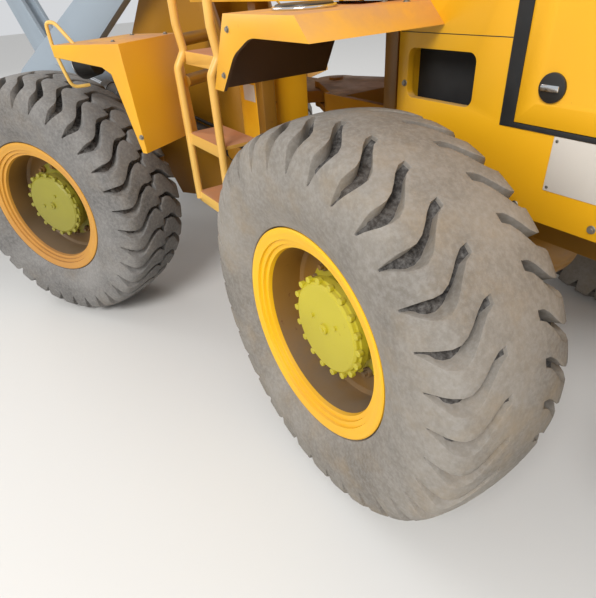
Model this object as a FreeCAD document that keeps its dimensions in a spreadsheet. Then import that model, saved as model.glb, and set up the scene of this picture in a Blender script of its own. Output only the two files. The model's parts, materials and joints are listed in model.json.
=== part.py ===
"""Wheel loader with an articulated frame, standing as it is parked.

The machine is modelled about its articulation pivot: X runs forward along the rear
frame, Y to the left and Z up from the ground. The front frame is drawn straight ahead
and then turned about the pivot by the steering angle at which the machine stands.
"""
import FreeCAD, Part
import math
import os
import re

import Sketcher
from FreeCAD import Placement, Rotation, Vector

os.makedirs("parts", exist_ok=True)

# Driving dimensions in millimetres, and angles in degrees.
SIZES = {
    # Layout, from the articulation pivot
    "rear_axle": 1300,
    "front_axle": 1250,
    "half_track": 925,
    "steer_angle": 32,
    "play": 5,
    "fit": 0.5,
    "seat_gap": 0.3,
    # Tyres
    "tyre_radius": 645,
    "tyre_width": 440,
    "tread_width": 300,
    "shoulder_width": 410,
    "shoulder_radius": 618,
    "wall_low": 440,
    "wall_high": 560,
    "tread_middle": 30,
    "tread_bars": 34,
    "notch_width": 38,
    "notch_depth": 45,
    "bar_slant": 25.6,
    "bar_root": 200,
    # Rims and hubs
    "rim_half": 190,
    "rim_lip": 22,
    "rim_flange": 355,
    "bead_cover": 14,
    "rim_ring": 22,
    "rim_step": 16,
    "hub_edge": 12,
    "rim_seat": 317.5,
    "rim_bore": 282,
    "rim_disc": 18,
    "hub_face": 125,
    "hub_radius": 170,
    "hub_flange": 215,
    "hub_drum": 150,
    "hub_depth": 150,
    # Axles
    "spindle_radius": 60,
    "spindle_bore_depth": 60,
    "axle_radius": 95,
    "axle_flange": 140,
    "axle_flange_width": 28,
    "differential_radius": 185,
    "differential_width": 230,
    "axle_seat": 300,
    "axle_lip": 20,
    "nose_radius": 75,
    "nose_length": 230,
    # Rear chassis
    "chassis_half": 272,
    "chassis_wall": 32,
    "chassis_top": 1010,
    "chassis_floor": 790,
    "chassis_nose": 260,
    "chassis_tail": 2300,
    "member": 60,
    "pin_proud": 12,
    "pin_gap": 3,
    "body_half": 600,
    # Articulation joint
    "lug_half": 120,
    "lug_thickness": 60,
    "lug_high": 1050,
    "lug_low": 530,
    "fork_thickness": 30,
    "pivot_radius": 40,
    "bulkhead": 350,
    "bulkhead_wall": 30,
    "shaft_height": 680,
    "shaft_radius": 38,
    "shaft_room": 25,
    "joint_radius": 62,
    "joint_pin": 16,
    # Counterweight
    "weight_rear": 2850,
    "weight_half": 880,
    "weight_low": 620,
    "weight_top": 1190,
    "weight_corner": 160,
    "hitch_height": 760,
    "hitch_depth": 190,
    "hitch_gap": 100,
    "hitch_half": 110,
    "hitch_pin": 24,
    # Engine hood
    "hood_front": 1110,
    "hood_rear": 2740,
    "hood_floor": 1010,
    "hood_top": 1890,
    "hood_drop": 90,
    "hood_wall": 25,
    "hood_door_front": 1530,
    "hood_door_rear": 2500,
    "hood_door_floor": 1250,
    "hood_door_top": 1760,
    "hood_gap": 12,
    "hood_hinge": 11,
    "vent_front": 1120,
    "vent_rear": 1400,
    "vent_low": 1262,
    "vent_high": 1400,
    "vent_corner": 25,
    "grille_half": 470,
    "grille_low": 1240,
    "grille_high": 1720,
    "grille_wall": 35,
    "grille_rows": 8,
    # Engine and gearbox
    "engine_front": 1560,
    "engine_rear": 2260,
    "engine_half": 220,
    "engine_low": 860,
    "engine_high": 1600,
    "gearbox_front": 720,
    "gearbox_rear": 980,
    "gearbox_half": 190,
    "gearbox_low": 600,
    "gearbox_high": 1130,
    # Tanks under the cab
    "tank_front": 110,
    "tank_inner": 430,
    "tank_half": 700,
    "tank_low": 800,
    "tank_high": 1330,
    "tank_corner": 120,
    "post_front": 350,
    "post_width": 60,
    # Cab
    "cab_front": 100,
    "cab_rear": 1100,
    "cab_half": 750,
    "cab_floor": 1530,
    "cab_eaves": 2900,
    "cab_base": 60,
    "cab_wall": 45,
    "cab_post": 80,
    "window_sill": 2080,
    "front_sill": 1900,
    "head_rail": 90,
    "door_rear": 1070,
    "door_front": 480,
    "door_floor": 1575,
    "door_top": 2830,
    "door_wall": 40,
    "door_gap": 6,
    "door_frame": 70,
    "door_window": 2060,
    "glass_wall": 8,
    "roof_lip": 70,
    "roof_thickness": 130,
    # Seat and steering wheel
    "seat_rear": 930,
    "seat_front": 430,
    "seat_half": 240,
    "seat_rise": 420,
    "seat_pad": 110,
    "seat_back": 560,
    "seat_back_wall": 110,
    "column_foot": 60,
    "column_head": 190,
    "column_height": 2260,
    "column_radius": 32,
    "column_base_length": 200,
    "column_base_width": 240,
    "column_base_height": 120,
    "wheel_ring": 195,
    "wheel_grip": 14,
    # Rear fenders
    "fender_inner": 600,
    "fender_outer": 1050,
    "fender_rear": 1220,
    "fender_front": 840,
    "fender_tip": 715,
    "fender_top": 1520,
    "fender_low": 1300,
    "fender_wall": 12,
    "fender_skirt": 57,
    "fender_leg": 65,
    "fender_lip": 60,
    # Ladders
    "ladder_rear": 460,
    "ladder_front": 120,
    "ladder_out": 245,
    "ladder_foot": 715,
    "ladder_tray": 1362,
    "ladder_top": 2150,
    "ladder_tube": 17,
    "ladder_bend": 60,
    "ladder_pinch": 40,
    "step_low": 750,
    "step_high": 1030,
    "step_depth": 190,
    "step_wall": 14,
    "step_skirt": 50,
    # Exhaust, precleaner and lamps
    "exhaust_back": 1900,
    "exhaust_side": 300,
    "exhaust_radius": 42,
    "exhaust_wall": 3,
    "exhaust_top": 2620,
    "muffler_radius": 95,
    "muffler_height": 420,
    "cleaner_back": 1480,
    "cleaner_side": 260,
    "cleaner_radius": 110,
    "cleaner_height": 150,
    "cleaner_neck": 60,
    "lamp_radius": 75,
    "lamp_depth": 90,
    "lamp_side": 860,
    "lamp_foot": 20,
    "lamp_proud": 25,
    "tail_lamp_width": 150,
    "tail_lamp_height": 90,
    "tail_lamp_side": 720,
    # Front chassis and tower
    "plate_half": 322,
    "plate_wall": 32,
    "arm_pin_back": 500,
    "arm_pin_height": 1780,
    "arm_pin_radius": 45,
    "arm_boss": 112,
    "tower_rear": 780,
    "tower_front": 330,
    "chassis_front": 430,
    "front_floor": 480,
    "front_top": 1120,
    "front_deck": 860,
    "front_seat": 760,
    "arm_cap": 14,
    "stay_high_place": 560,
    "stay_low_place": 500,
    # Lift arms
    "arm_centre": 445,
    "arm_wall": 60,
    "arm_hinge_reach": 1436,
    "arm_hinge_height": 310,
    "arm_hinge_boss": 88,
    "knee_low_reach": 430,
    "knee_low_height": 1020,
    "knee_high_reach": 620,
    "knee_high_height": 1230,
    "arm_slope": 36.4,
    "bucket_pin": 35,
    "cross_reach": 545,
    "cross_height": 1080,
    "cross_radius": 88,
    # Bell crank, link and tilt cylinder, in the middle plane
    "crank_reach": 800,
    "crank_height": 1120,
    "crank_top_reach": 1044,
    "crank_top_height": 1668,
    "crank_low_reach": 780,
    "crank_low_height": 560,
    "crank_wall": 32,
    "crank_half": 34,
    "crank_boss": 92,
    "crank_eye": 68,
    "eye_half": 30,
    "link_pin": 28,
    "link_reach": 1420,
    "link_height": 610,
    "link_depth": 100,
    "tilt_base_back": 430,
    "tilt_base_height": 1905,
    "tilt_radius": 75,
    "tilt_rod_radius": 28,
    "tilt_barrel": 950,
    "tilt_rod": 1080,
    # Bucket
    "bucket_half": 1235,
    "bucket_wall": 25,
    "bucket_back": 105,
    "bucket_lean": 90,
    "bucket_top": 720,
    "bucket_floor": 250,
    "bucket_heel": 200,
    "bucket_length": 1010,
    "bucket_cheek": 40,
    "ear_wall": 25,
    "edge_length": 230,
    "edge_wall": 30,
    "tooth_length": 130,
    "tooth_width": 75,
    "tooth_height": 60,
    "tooth_count": 8,
    # Lift cylinders
    "lift_side": 380,
    "lift_base_back": 800,
    "lift_base_height": 800,
    "lift_eye_reach": 330,
    "lift_eye_height": 1200,
    "lift_radius": 52,
    "lift_rod_radius": 30,
    "lift_barrel": 930,
    "lift_rod": 1122,
    "lift_pin": 32,
    "lift_boss": 62,
    "lift_eye_half": 25,
    # Steering cylinders
    "steer_base_back": 520,
    "steer_base_side": 420,
    "steer_eye_reach": 262,
    "steer_eye_side": 300,
    "steer_height": 740,
    "steer_radius": 36,
    "steer_rod_radius": 20,
    "steer_barrel": 500,
    "steer_rod": 515,
    "steer_pin": 20,
    "steer_eye_radius": 38,
    "steer_eye_half": 22,
    "steer_plate": 18,
    # Front fenders and their headlamps
    "front_fender_inner": 690,
    "front_fender_outer": 1080,
    "front_fender_rear": 760,
    "front_fender_front": 380,
    "front_fender_top": 1420,
    "front_fender_low": 990,
    "front_fender_skirt": 85,
    "fender_stay": 28,
}

doc = FreeCAD.newDocument("wheel_loader")
sheet = doc.addObject("Spreadsheet::Sheet", "Sizes")
for row, (alias, number) in enumerate(SIZES.items(), start=1):
    sheet.set(f"A{row}", alias)
    sheet.set(f"B{row}", str(number))
    sheet.setAlias(f"B{row}", alias)
doc.recompute()


def formula(text):
    """Spreadsheet formula of a text that names sizes by their aliases."""
    return re.sub(r"[a-z_]+", lambda word: ("Sizes." if word.group() in SIZES else "") + word.group(), str(text))


def size(alias):
    """Number that the sheet holds for a size."""
    return float(sheet.get(alias))


def bind(thing, **formulas):
    """Tie properties to the sheet; a double underscore in a name stands for a dot."""
    for name, text in formulas.items():
        thing.setExpression(name.replace("__", "."), formula(text))
    return thing


# Plain shapes

TURNS = {
    "x": Rotation(Vector(0, 1, 0), 90),
    "y": Rotation(Vector(1, 0, 0), -90),
    "z": Rotation(),
}
ACROSS = {"x": "yz", "y": "xz", "z": "xy"}
PLANES = {"x": "YZ_Plane", "y": "XZ_Plane", "z": "XY_Plane"}


def box(x, y, z):
    """Block between two limits along each axis."""
    block = doc.addObject("Part::Box", "Block")
    for side, axis, (start, end) in zip(("Length", "Width", "Height"), "xyz", (x, y, z)):
        bind(block, **{side: f"({end}) - ({start})", f"Placement__Base__{axis}": start})
    return block


def rod(axis, centre, radius, start, end):
    """Round bar along one axis, its centre given on the two others."""
    bar = doc.addObject("Part::Cylinder", "Bar")
    bar.Placement.Rotation = TURNS[axis]
    bind(bar, Radius=radius, Height=f"({end}) - ({start})", **{f"Placement__Base__{axis}": start})
    for other, text in zip(ACROSS[axis], centre):
        bind(bar, **{f"Placement__Base__{other}": text})
    return bar


def cone(axis, centre, radii, start, end):
    """Tapered round bar along one axis."""
    taper = doc.addObject("Part::Cone", "Taper")
    taper.Placement.Rotation = TURNS[axis]
    bind(taper, Radius1=radii[0], Radius2=radii[1], Height=f"({end}) - ({start})")
    bind(taper, **{f"Placement__Base__{axis}": start})
    for other, text in zip(ACROSS[axis], centre):
        bind(taper, **{f"Placement__Base__{other}": text})
    return taper


def ball(centre, radius):
    """Ball about a centre."""
    round_block = doc.addObject("Part::Sphere", "Ball")
    bind(round_block, Radius=radius)
    for axis, text in zip("xyz", centre):
        bind(round_block, **{f"Placement__Base__{axis}": text})
    return round_block


def outlined_body(plane, outline, lift):
    """Body with one sketch of straight edges, each corner bound to the sheet."""
    body = doc.addObject("PartDesign::Body", "Body")
    sketch = body.newObject("Sketcher::SketchObject", "Outline")
    base = [feature for feature in body.Origin.OriginFeatures if feature.Role == plane][0]
    sketch.AttachmentSupport = [(base, "")]
    sketch.MapMode = "FlatFace"
    for place, text in lift.items():
        bind(sketch, **{f"AttachmentOffset__Base__{place}": text})
    count = len(outline)
    for index in range(count):
        start = Vector(index, index * index, 0)
        end = Vector((index + 1) % count, ((index + 1) % count) ** 2, 0)
        sketch.addGeometry(Part.LineSegment(start, end))
    for index in range(count):
        sketch.addConstraint(Sketcher.Constraint("Coincident", index, 2, (index + 1) % count, 1))
    for index, corner in enumerate(outline):
        for kind, text in zip(("DistanceX", "DistanceY"), corner):
            number = sketch.addConstraint(Sketcher.Constraint(kind, -1, 1, index, 1, 1.0))
            sketch.setExpression(f"Constraints[{number}]", formula(text))
    return body, sketch


def prism(axis, outline, start, end):
    """Plate or block of one outline, padded from start to end along an axis."""
    level = f"-({end})" if axis == "y" else start
    body, sketch = outlined_body(PLANES[axis], outline, {"z": level})
    pad = body.newObject("PartDesign::Pad", "Pad")
    pad.Profile = sketch
    bind(pad, Length=f"({end}) - ({start})")
    body.Tip = pad
    return body


def turned(axis, outline, centre):
    """Turned piece: corners of (place along the axis, radius), turned about the axis."""
    if axis == "y":
        body, sketch = outlined_body("YZ_Plane", outline, {"z": centre[0], "y": centre[1]})
        spin_axis = "H_Axis"
    elif axis == "x":
        body, sketch = outlined_body("XZ_Plane", outline, {"z": f"-({centre[0]})", "y": centre[1]})
        spin_axis = "H_Axis"
    else:
        flipped = [(radius, along) for along, radius in outline]
        body, sketch = outlined_body("XZ_Plane", flipped, {"x": centre[0], "z": f"-({centre[1]})"})
        spin_axis = "V_Axis"
    spin = body.newObject("PartDesign::Revolution", "Turn")
    spin.Profile = sketch
    spin.ReferenceAxis = (sketch, [spin_axis])
    spin.Angle = 360
    body.Tip = spin
    return body


def rounded(body, radius, picks):
    """Fillet the edges of a body that pass the test."""
    doc.recompute()
    base = body.Tip
    edges = [f"Edge{number}" for number, edge in enumerate(base.Shape.Edges, start=1) if picks(edge)]
    fillet = body.newObject("PartDesign::Fillet", "Fillet")
    fillet.Base = (base, edges)
    bind(fillet, Radius=radius)
    body.Tip = fillet
    return body


def along(axis, test=lambda centre: True):
    """Test for straight edges along one axis whose centre passes a further test."""
    direction = {"x": Vector(1, 0, 0), "y": Vector(0, 1, 0), "z": Vector(0, 0, 1)}[axis]

    def picks(edge):
        """True for an edge to be rounded."""
        if len(edge.Vertexes) != 2 or edge.Curve.TypeId != "Part::GeomLine":
            return False
        run = edge.Vertexes[1].Point - edge.Vertexes[0].Point
        return abs(run.normalize().dot(direction)) > 0.999 and test(edge.CenterOfMass)

    return picks


def fuse(*shapes):
    """Several shapes joined."""
    if len(shapes) == 1:
        return shapes[0]
    joined = doc.addObject("Part::MultiFuse", "Joined")
    joined.Shapes = list(shapes)
    joined.Refine = True
    return joined


def cut(base, *tools):
    """A shape less others."""
    less = doc.addObject("Part::Cut", "Less")
    less.Base = base
    less.Tool = fuse(*tools)
    less.Refine = True
    return less


def mirrored(shape):
    """The same shape on the right side of the machine."""
    other = doc.addObject("Part::Mirroring", "RightSide")
    other.Source = shape
    other.Normal = Vector(0, 1, 0)
    return other


def both(*shapes):
    """Shapes on the left side and the same on the right."""
    left = fuse(*shapes)
    return fuse(left, mirrored(left))


def made(shape):
    """Feature that holds a shape made by Part's own functions."""
    feature = doc.addObject("Part::Feature", "Made")
    feature.Shape = shape
    return feature


def bent_tube(points, radius, bend):
    """Round tube along straight runs that are joined by arcs."""
    corners = [Vector(*point) for point in points]
    edges = []
    start = corners[0]
    for before, corner, after in zip(corners, corners[1:], corners[2:]):
        into = (corner - before).normalize()
        out = (after - corner).normalize()
        turn = into.getAngle(out)
        back = bend * math.tan(turn / 2)
        first = corner - into * back
        last = corner + out * back
        middle = (out - into).normalize()
        top = corner + middle * (bend / math.cos(turn / 2) - bend)
        edges.append(Part.LineSegment(start, first).toShape())
        edges.append(Part.Arc(first, top, last).toShape())
        start = last
    edges.append(Part.LineSegment(start, corners[-1]).toShape())
    section = Part.Wire([Part.Circle(corners[0], corners[1] - corners[0], radius).toShape()])
    return Part.Wire(edges).makePipeShell([section], True, False)


# Nodes: each holds its shape, its frame and its place within that frame.
nodes = {}


def node(name, shape, frame="rear", place=None):
    """Name a finished sub-part and note the frame that carries it."""
    if shape.TypeId in ("Part::Box", "Part::Mirroring"):
        holder = doc.addObject("Part::Compound", "Holder")
        holder.Links = [shape]
        shape = holder
    shape.Label = name
    nodes[name] = (shape, frame, place or Placement())


# Wheels and axles

def half_tyre():
    """Rings of half a tyre from bead to middle: place along the axle, radius, radius in a notch.

    A ring is plain, with a corner at every second bar or at every bar, or notched, with three corners a bar.
    """
    bead = size("rim_half") - size("rim_lip") - size("seat_gap")
    corner = math.cos(2 * math.pi / size("tread_bars"))
    notch = size("notch_depth")
    return [
        (bead, (size("rim_seat") + size("seat_gap")) / corner, None, 0.5),
        (bead, (size("rim_flange") + size("seat_gap")) / corner, None, 0.5),
        (size("rim_half"), (size("rim_flange") + size("bead_cover")) / corner, None, 0.5),
        (size("tyre_width") / 2, size("wall_low"), None, 1),
        (size("tyre_width") / 2, size("wall_high"), None, 1),
        (size("shoulder_width") / 2, size("shoulder_radius"), size("shoulder_radius") - notch, 3),
        (size("tread_width") / 2, size("tyre_radius"), size("tyre_radius") - notch, 3),
        (size("tread_middle"), size("tyre_radius"), None, 1),
    ]


def tyre_ring(along, outer, notch, share, side):
    """Corners of one ring, in order round the tyre."""
    pitch = 2 * math.pi / size("tread_bars")
    slant = math.tan(math.radians(size("bar_slant")))
    lean = slant * max(0.0, size("bar_root") - along) / size("tyre_radius")
    width = size("notch_width") / size("tyre_radius")
    step = pitch / min(share, 1)
    corners = []
    for bar in range(round(size("tread_bars") * min(share, 1))):
        start = bar * step + (pitch / 2 if side < 0 and share >= 1 else 0) - lean
        for turn, reach in ((0, outer), (width / 2, notch), (width, outer))[:max(share, 1)]:
            angle = start + turn
            corners.append(Vector(reach * math.cos(angle), side * along, reach * math.sin(angle)))
    return corners


def band(first, second):
    """Flat faces between two rings, three corners each."""
    few, many = (first, second) if len(first) < len(second) else (second, first)
    times = len(many) // len(few)
    faces = []
    for at, corner in enumerate(few):
        after = few[(at + 1) % len(few)]
        run = [many[(at * times + step) % len(many)] for step in range(times + 1)]
        faces += [(corner, run[step], run[step + 1]) for step in range(times - 1)]
        faces += [(corner, run[-2], after), (run[-2], run[-1], after)]
    return faces


def notched_tyre():
    """One tyre about its own axle, with slanting bars that wrap over both shoulders."""
    half = half_tyre()
    rings = [tyre_ring(*ring, -1) for ring in half] + [tyre_ring(*ring, 1) for ring in half[::-1]]
    faces = []
    for first, second in zip(rings, rings[1:] + rings[:1]):
        for corners in band(first, second):
            faces.append(Part.Face(Part.makePolygon(list(corners) + [corners[0]])))
    shell = Part.makeShell(faces)
    shell.sewShape()
    solid = Part.makeSolid(shell)
    if solid.Volume < 0:
        solid.reverse()
    return solid


def wheels():
    """Four wheels, each a tyre and a rim with its hub."""
    barrel = [
        ("rim_half", "rim_flange"),
        ("rim_half", "rim_flange - rim_ring"),
        ("rim_half - rim_step", "rim_bore + rim_ring"),
        ("rim_half - 2 * rim_step", "rim_bore"),
        ("rim_disc", "rim_bore"),
        ("rim_disc", "hub_radius"),
        ("hub_face - hub_edge", "hub_radius"),
        ("hub_face", "hub_radius - hub_edge"),
        ("hub_face", "0"),
        ("spindle_bore_depth - hub_depth", "0"),
        ("spindle_bore_depth - hub_depth", "spindle_radius + fit"),
        ("-hub_depth", "spindle_radius + fit"),
        ("-hub_depth", "hub_drum"),
        ("-rim_lip", "hub_drum"),
        ("-rim_lip", "hub_flange"),
        ("0", "hub_flange"),
        ("0", "rim_bore"),
        ("2 * rim_step - rim_half", "rim_bore"),
        ("-rim_half", "rim_bore + rim_ring"),
        ("-rim_half", "rim_flange"),
        ("rim_lip - rim_half", "rim_flange"),
        ("rim_lip - rim_half", "rim_seat"),
        ("rim_half - rim_lip", "rim_seat"),
        ("rim_half - rim_lip", "rim_flange"),
    ]
    for end, axle_place, frame in (("front", "front_axle", "front"), ("rear", "-rear_axle", "rear")):
        along = size(axle_place.strip("-")) * (-1 if axle_place.startswith("-") else 1)
        for side, sign in (("left", 1), ("right", -1)):
            middle = Vector(along, sign * size("half_track"), size("tyre_radius"))
            node(f"tyre_{end}_{side}", made(notched_tyre()), frame, Placement(middle, Rotation()))
            placed = [(f"{sign} * (half_track + {place})", radius) for place, radius in barrel]
            node(f"rim_{end}_{side}", turned("y", placed, (axle_place, "tyre_radius")), frame)


def axle(place, nose, seat_half, seat_top):
    """Axle beam with its differential, wheel spindles, seats and a nose towards the shaft."""
    end = "(half_track - hub_depth - play)"
    centre = (place, "tyre_radius")
    seat = box((f"{place} - axle_seat / 3", f"{place} + axle_seat / 3"),
               (f"{seat_half} - chassis_wall - axle_lip", f"{seat_half} + axle_lip"), ("tyre_radius", seat_top))
    return fuse(
        rod("y", centre, "axle_radius", f"-{end}", end),
        both(rod("y", centre, "axle_flange", f"{end} - axle_flange_width", end),
             rod("y", centre, "spindle_radius", "0", f"{end} + spindle_bore_depth"),
             cone("y", centre, ("differential_radius", "axle_radius"),
                  "differential_width / 4", "differential_width * 1.3"),
             seat),
        rod("y", centre, "differential_radius", "-differential_width / 4", "differential_width / 4"),
        rod("x", ("0", "shaft_height"), "nose_radius", *nose),
    )


# Rear frame

LUGS = (("lug_high", "high"), ("lug_low", "low"))
FORK_IN = "(lug_thickness / 2 + play)"
FORK_OUT = "(lug_thickness / 2 + play + fork_thickness)"


def rear_chassis():
    """Two side plates with cross members, outriggers, cab posts and the forks of the pivot."""
    inner = "(chassis_half - chassis_wall)"
    side = prism("y", [
        ("-chassis_nose", f"lug_low - {FORK_OUT}"),
        ("-gearbox_front", f"lug_low - {FORK_OUT}"),
        ("-gearbox_rear", "chassis_floor"),
        ("-chassis_tail", "chassis_floor"),
        ("-chassis_tail", "chassis_top"),
        ("-gearbox_rear", "chassis_top"),
        ("-gearbox_front", f"lug_high + {FORK_OUT}"),
        ("-chassis_nose", f"lug_high + {FORK_OUT}"),
    ], inner, "chassis_half")
    parts = [both(side)]
    fork_plan = [
        (f"-chassis_nose - chassis_nose / 2", f"-{inner}"),
        ("-chassis_nose", f"-{inner}"),
        ("0", "-lug_half"),
        ("0", "lug_half"),
        ("-chassis_nose", inner),
        (f"-chassis_nose - chassis_nose / 2", inner),
    ]
    for lug, _ in LUGS:
        for low, high in ((f"-{FORK_OUT}", f"-{FORK_IN}"), (FORK_IN, FORK_OUT)):
            parts.append(prism("z", fork_plan, f"{lug} + {low}", f"{lug} + {high}"))
            parts.append(rod("z", ("0", "0"), "lug_half", f"{lug} + {low}", f"{lug} + {high}"))
        parts.append(rod("z", ("0", "0"), "pivot_radius",
                         f"{lug} - {FORK_OUT} - pin_proud", f"{lug} + {FORK_OUT} + pin_proud"))
    bulkhead = box(("-chassis_nose - chassis_nose / 2", "-chassis_nose - chassis_nose / 2 + bulkhead_wall"),
                   (f"-{inner}", inner), (f"lug_low - {FORK_OUT}", f"lug_high + {FORK_OUT}"))
    shaft_hole = rod("x", ("0", "shaft_height"), "shaft_radius + shaft_room", "-chassis_nose * 2", "0")
    parts.append(cut(bulkhead, shaft_hole))
    for place in ("engine_front + member", "engine_rear - member"):
        parts.append(box((f"-({place})", f"-({place}) + member"), (f"-{inner}", inner),
                         ("chassis_floor", "engine_low")))
    for place in ("rear_axle - axle_seat / 2 - member", "rear_axle + axle_seat / 2"):
        parts.append(box((f"-({place}) - member", f"-({place})"), (f"-{inner}", inner),
                         ("chassis_floor", "engine_low")))
    parts.append(box(("-chassis_tail", "-chassis_tail + bulkhead_wall"), (f"-{inner}", inner),
                     ("chassis_floor", "chassis_top")))
    for place in ("hood_front + member", "chassis_tail"):
        parts.append(both(box((f"-({place})", f"-({place}) + member"), ("chassis_half", "body_half"),
                              ("hood_floor - member", "hood_floor"))))
    # Posts under the cab, on outriggers
    front_post = box(("-post_front - post_width", "-post_front"), ("tank_half - post_width", "tank_half"),
                     ("tank_low", "cab_floor"))
    front_rigger = box(("-post_front - post_width", "-post_front"), ("chassis_half", "tank_half - post_width"),
                       ("tank_low", "tank_low + post_width"))
    rear_post = box(("-cab_rear + post_width", "-cab_rear + 2 * post_width"),
                    ("body_half - 2 * post_width", "body_half - post_width"), ("chassis_top - post_width", "cab_floor"))
    rear_rigger = box(("-cab_rear + post_width", "-cab_rear + 2 * post_width"),
                      ("chassis_half", "body_half - 2 * post_width"), ("chassis_top - post_width", "chassis_top"))
    fender_stay = box(("-cab_rear + post_width", "-cab_rear + 2 * post_width"),
                      ("body_half - post_width", "fender_inner"),
                      ("fender_top - fender_wall - post_width", "fender_top - fender_wall"))
    parts.append(both(front_post, front_rigger, rear_post, rear_rigger, fender_stay))
    # Brackets of the steering cylinders
    for low, high in (("-steer_eye_half - play - steer_plate", "-steer_eye_half - play"),
                      ("steer_eye_half + play", "steer_eye_half + play + steer_plate")):
        level = (f"steer_height + ({low})", f"steer_height + ({high})")
        parts.append(both(
            box(("-steer_base_back - steer_eye_radius", "-steer_base_back + steer_eye_half"),
                ("chassis_half", "steer_base_side"), level),
            rod("z", ("-steer_base_back", "steer_base_side"), "steer_eye_radius", *level)))
    parts.append(both(rod("z", ("-steer_base_back", "steer_base_side"), "steer_pin",
                          "steer_height - steer_eye_half - play", "steer_height + steer_eye_half + play")))
    node("rear_chassis", fuse(*parts))


def counterweight():
    """Cast weight behind the chassis, with a ledge under the hood and a towing jaw."""
    block = prism("y", [
        ("-chassis_tail", "chassis_floor"),
        ("-chassis_tail - weight_corner", "weight_low"),
        ("-weight_rear", "weight_low"),
        ("-weight_rear", "weight_top"),
        ("-hood_rear - play", "weight_top"),
        ("-hood_rear - play", "hood_floor"),
        ("-chassis_tail", "hood_floor"),
    ], "-weight_half", "weight_half")
    rounded(block, "weight_corner * 0.6",
            along("z", lambda centre: centre.x < -size("hood_rear") - size("play") - 1))
    jaw = []
    jaw_place = "(-weight_rear - hitch_depth / 2)"
    for low in ("hitch_height - hitch_gap / 2 - fork_thickness", "hitch_height + hitch_gap / 2"):
        level = (low, f"{low} + fork_thickness")
        jaw.append(box((jaw_place, "-weight_rear"), ("-hitch_half", "hitch_half"), level))
        jaw.append(rod("z", (jaw_place, "0"), "hitch_half", *level))
    bore = rod("z", (jaw_place, "0"), "hitch_pin + 2 * fit", "weight_low", "weight_top")
    node("counterweight", fuse(block, cut(fuse(*jaw), bore, box(
        ("-weight_rear", "0"), ("-weight_half", "weight_half"), ("weight_low", "weight_top")))))


HOOD_OUTLINE = [
    ("-hood_front", "hood_floor"),
    ("-hood_rear", "hood_floor"),
    ("-hood_rear", "hood_top - hood_drop"),
    ("-hood_front", "hood_top"),
]


def engine_hood():
    """Hollow hood with door openings, side vents and a rear opening for the grille."""
    outer = prism("y", HOOD_OUTLINE, "-body_half", "body_half")
    inner = prism("y", [
        ("-hood_front - hood_wall", "hood_floor - hood_wall"),
        ("-hood_rear + hood_wall", "hood_floor - hood_wall"),
        ("-hood_rear + hood_wall", "hood_top - hood_drop - hood_wall"),
        ("-hood_front - hood_wall", "hood_top - hood_wall"),
    ], "-body_half + hood_wall", "body_half - hood_wall")
    vent = rounded(prism("y", [
        ("-vent_rear", "vent_low"),
        ("-vent_front - hood_wall * 1.2", "vent_low"),
        ("-vent_front - hood_wall * 1.2", "vent_high"),
        ("-vent_rear", "vent_high"),
    ], "-body_half", "body_half"), "vent_corner", along("y"))
    doors = box(("-hood_door_rear", "-hood_door_front"), ("-body_half", "body_half"),
                ("hood_door_floor - hood_gap", "hood_door_top"))
    grille = box(("-hood_rear", "0 - hood_front - hood_wall"), ("-grille_half", "grille_half"),
                 ("grille_low", "grille_high"))
    hinges = []
    for low, high in HINGE_CASE:
        hinges.append(both(
            rod("z", ("-hood_door_rear", "body_half + hood_hinge"), "hood_hinge", low, high),
            box(("-hood_door_rear - 4 * hood_hinge", "-hood_door_rear"),
                ("body_half", "body_half + hood_hinge / 2"), (low, high))))
    node("engine_hood", fuse(cut(outer, inner, vent, doors, grille), *hinges))


HINGE_CASE = (
    ("hood_door_floor + 60", "hood_door_floor + 90"),
    ("hood_door_top - 90", "hood_door_top - 60"),
)
HINGE_DOOR = (
    ("hood_door_floor + 91", "hood_door_floor + 150"),
    ("hood_door_top - 150", "hood_door_top - 91"),
)


def hood_doors():
    """Side doors of the hood, each on two hinges along its rear edge."""
    for side in ("left", "right"):
        panel = box(("-hood_door_rear + hood_gap / 2", "-hood_door_front - hood_gap"),
                    ("body_half - hood_wall", "body_half"), ("hood_door_floor", "hood_door_top - hood_gap / 2"))
        knuckles = [rod("z", ("-hood_door_rear", "body_half + hood_hinge"), "hood_hinge", low, high)
                    for low, high in HINGE_DOOR]
        leaves = [box(("-hood_door_rear", "-hood_door_rear + 4 * hood_hinge"),
                      ("body_half", "body_half + hood_hinge / 2"), (low, high)) for low, high in HINGE_DOOR]
        door = fuse(panel, *knuckles, *leaves)
        node(f"hood_door_{side}", door if side == "left" else mirrored(door))


def radiator_grille():
    """Slotted grille in the rear of the hood, on the radiator core behind it."""
    panel = box(("-hood_rear - hood_wall / 2", "-hood_rear + grille_wall"), ("-grille_half", "grille_half"),
                ("grille_low", "grille_high"))
    slots = []
    pitch = "((grille_high - grille_low - 2 * grille_wall) / grille_rows)"
    for index in range(int(SIZES["grille_rows"])):
        low = f"grille_low + grille_wall + {pitch} * {index}"
        slots.append(box(("-hood_rear - grille_wall", "-hood_rear + grille_wall"),
                         ("-grille_half + grille_wall", "grille_half - grille_wall"),
                         (f"{low} + {pitch} / 4", f"{low} + {pitch}")))
    core = box(("-hood_rear + grille_wall", "-hood_rear + 3 * grille_wall"),
               ("-grille_half + grille_wall / 2", "grille_half - grille_wall / 2"),
               ("hood_floor", "grille_high - grille_wall / 2"))
    node("radiator_grille", fuse(cut(panel, *slots), core))


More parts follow.
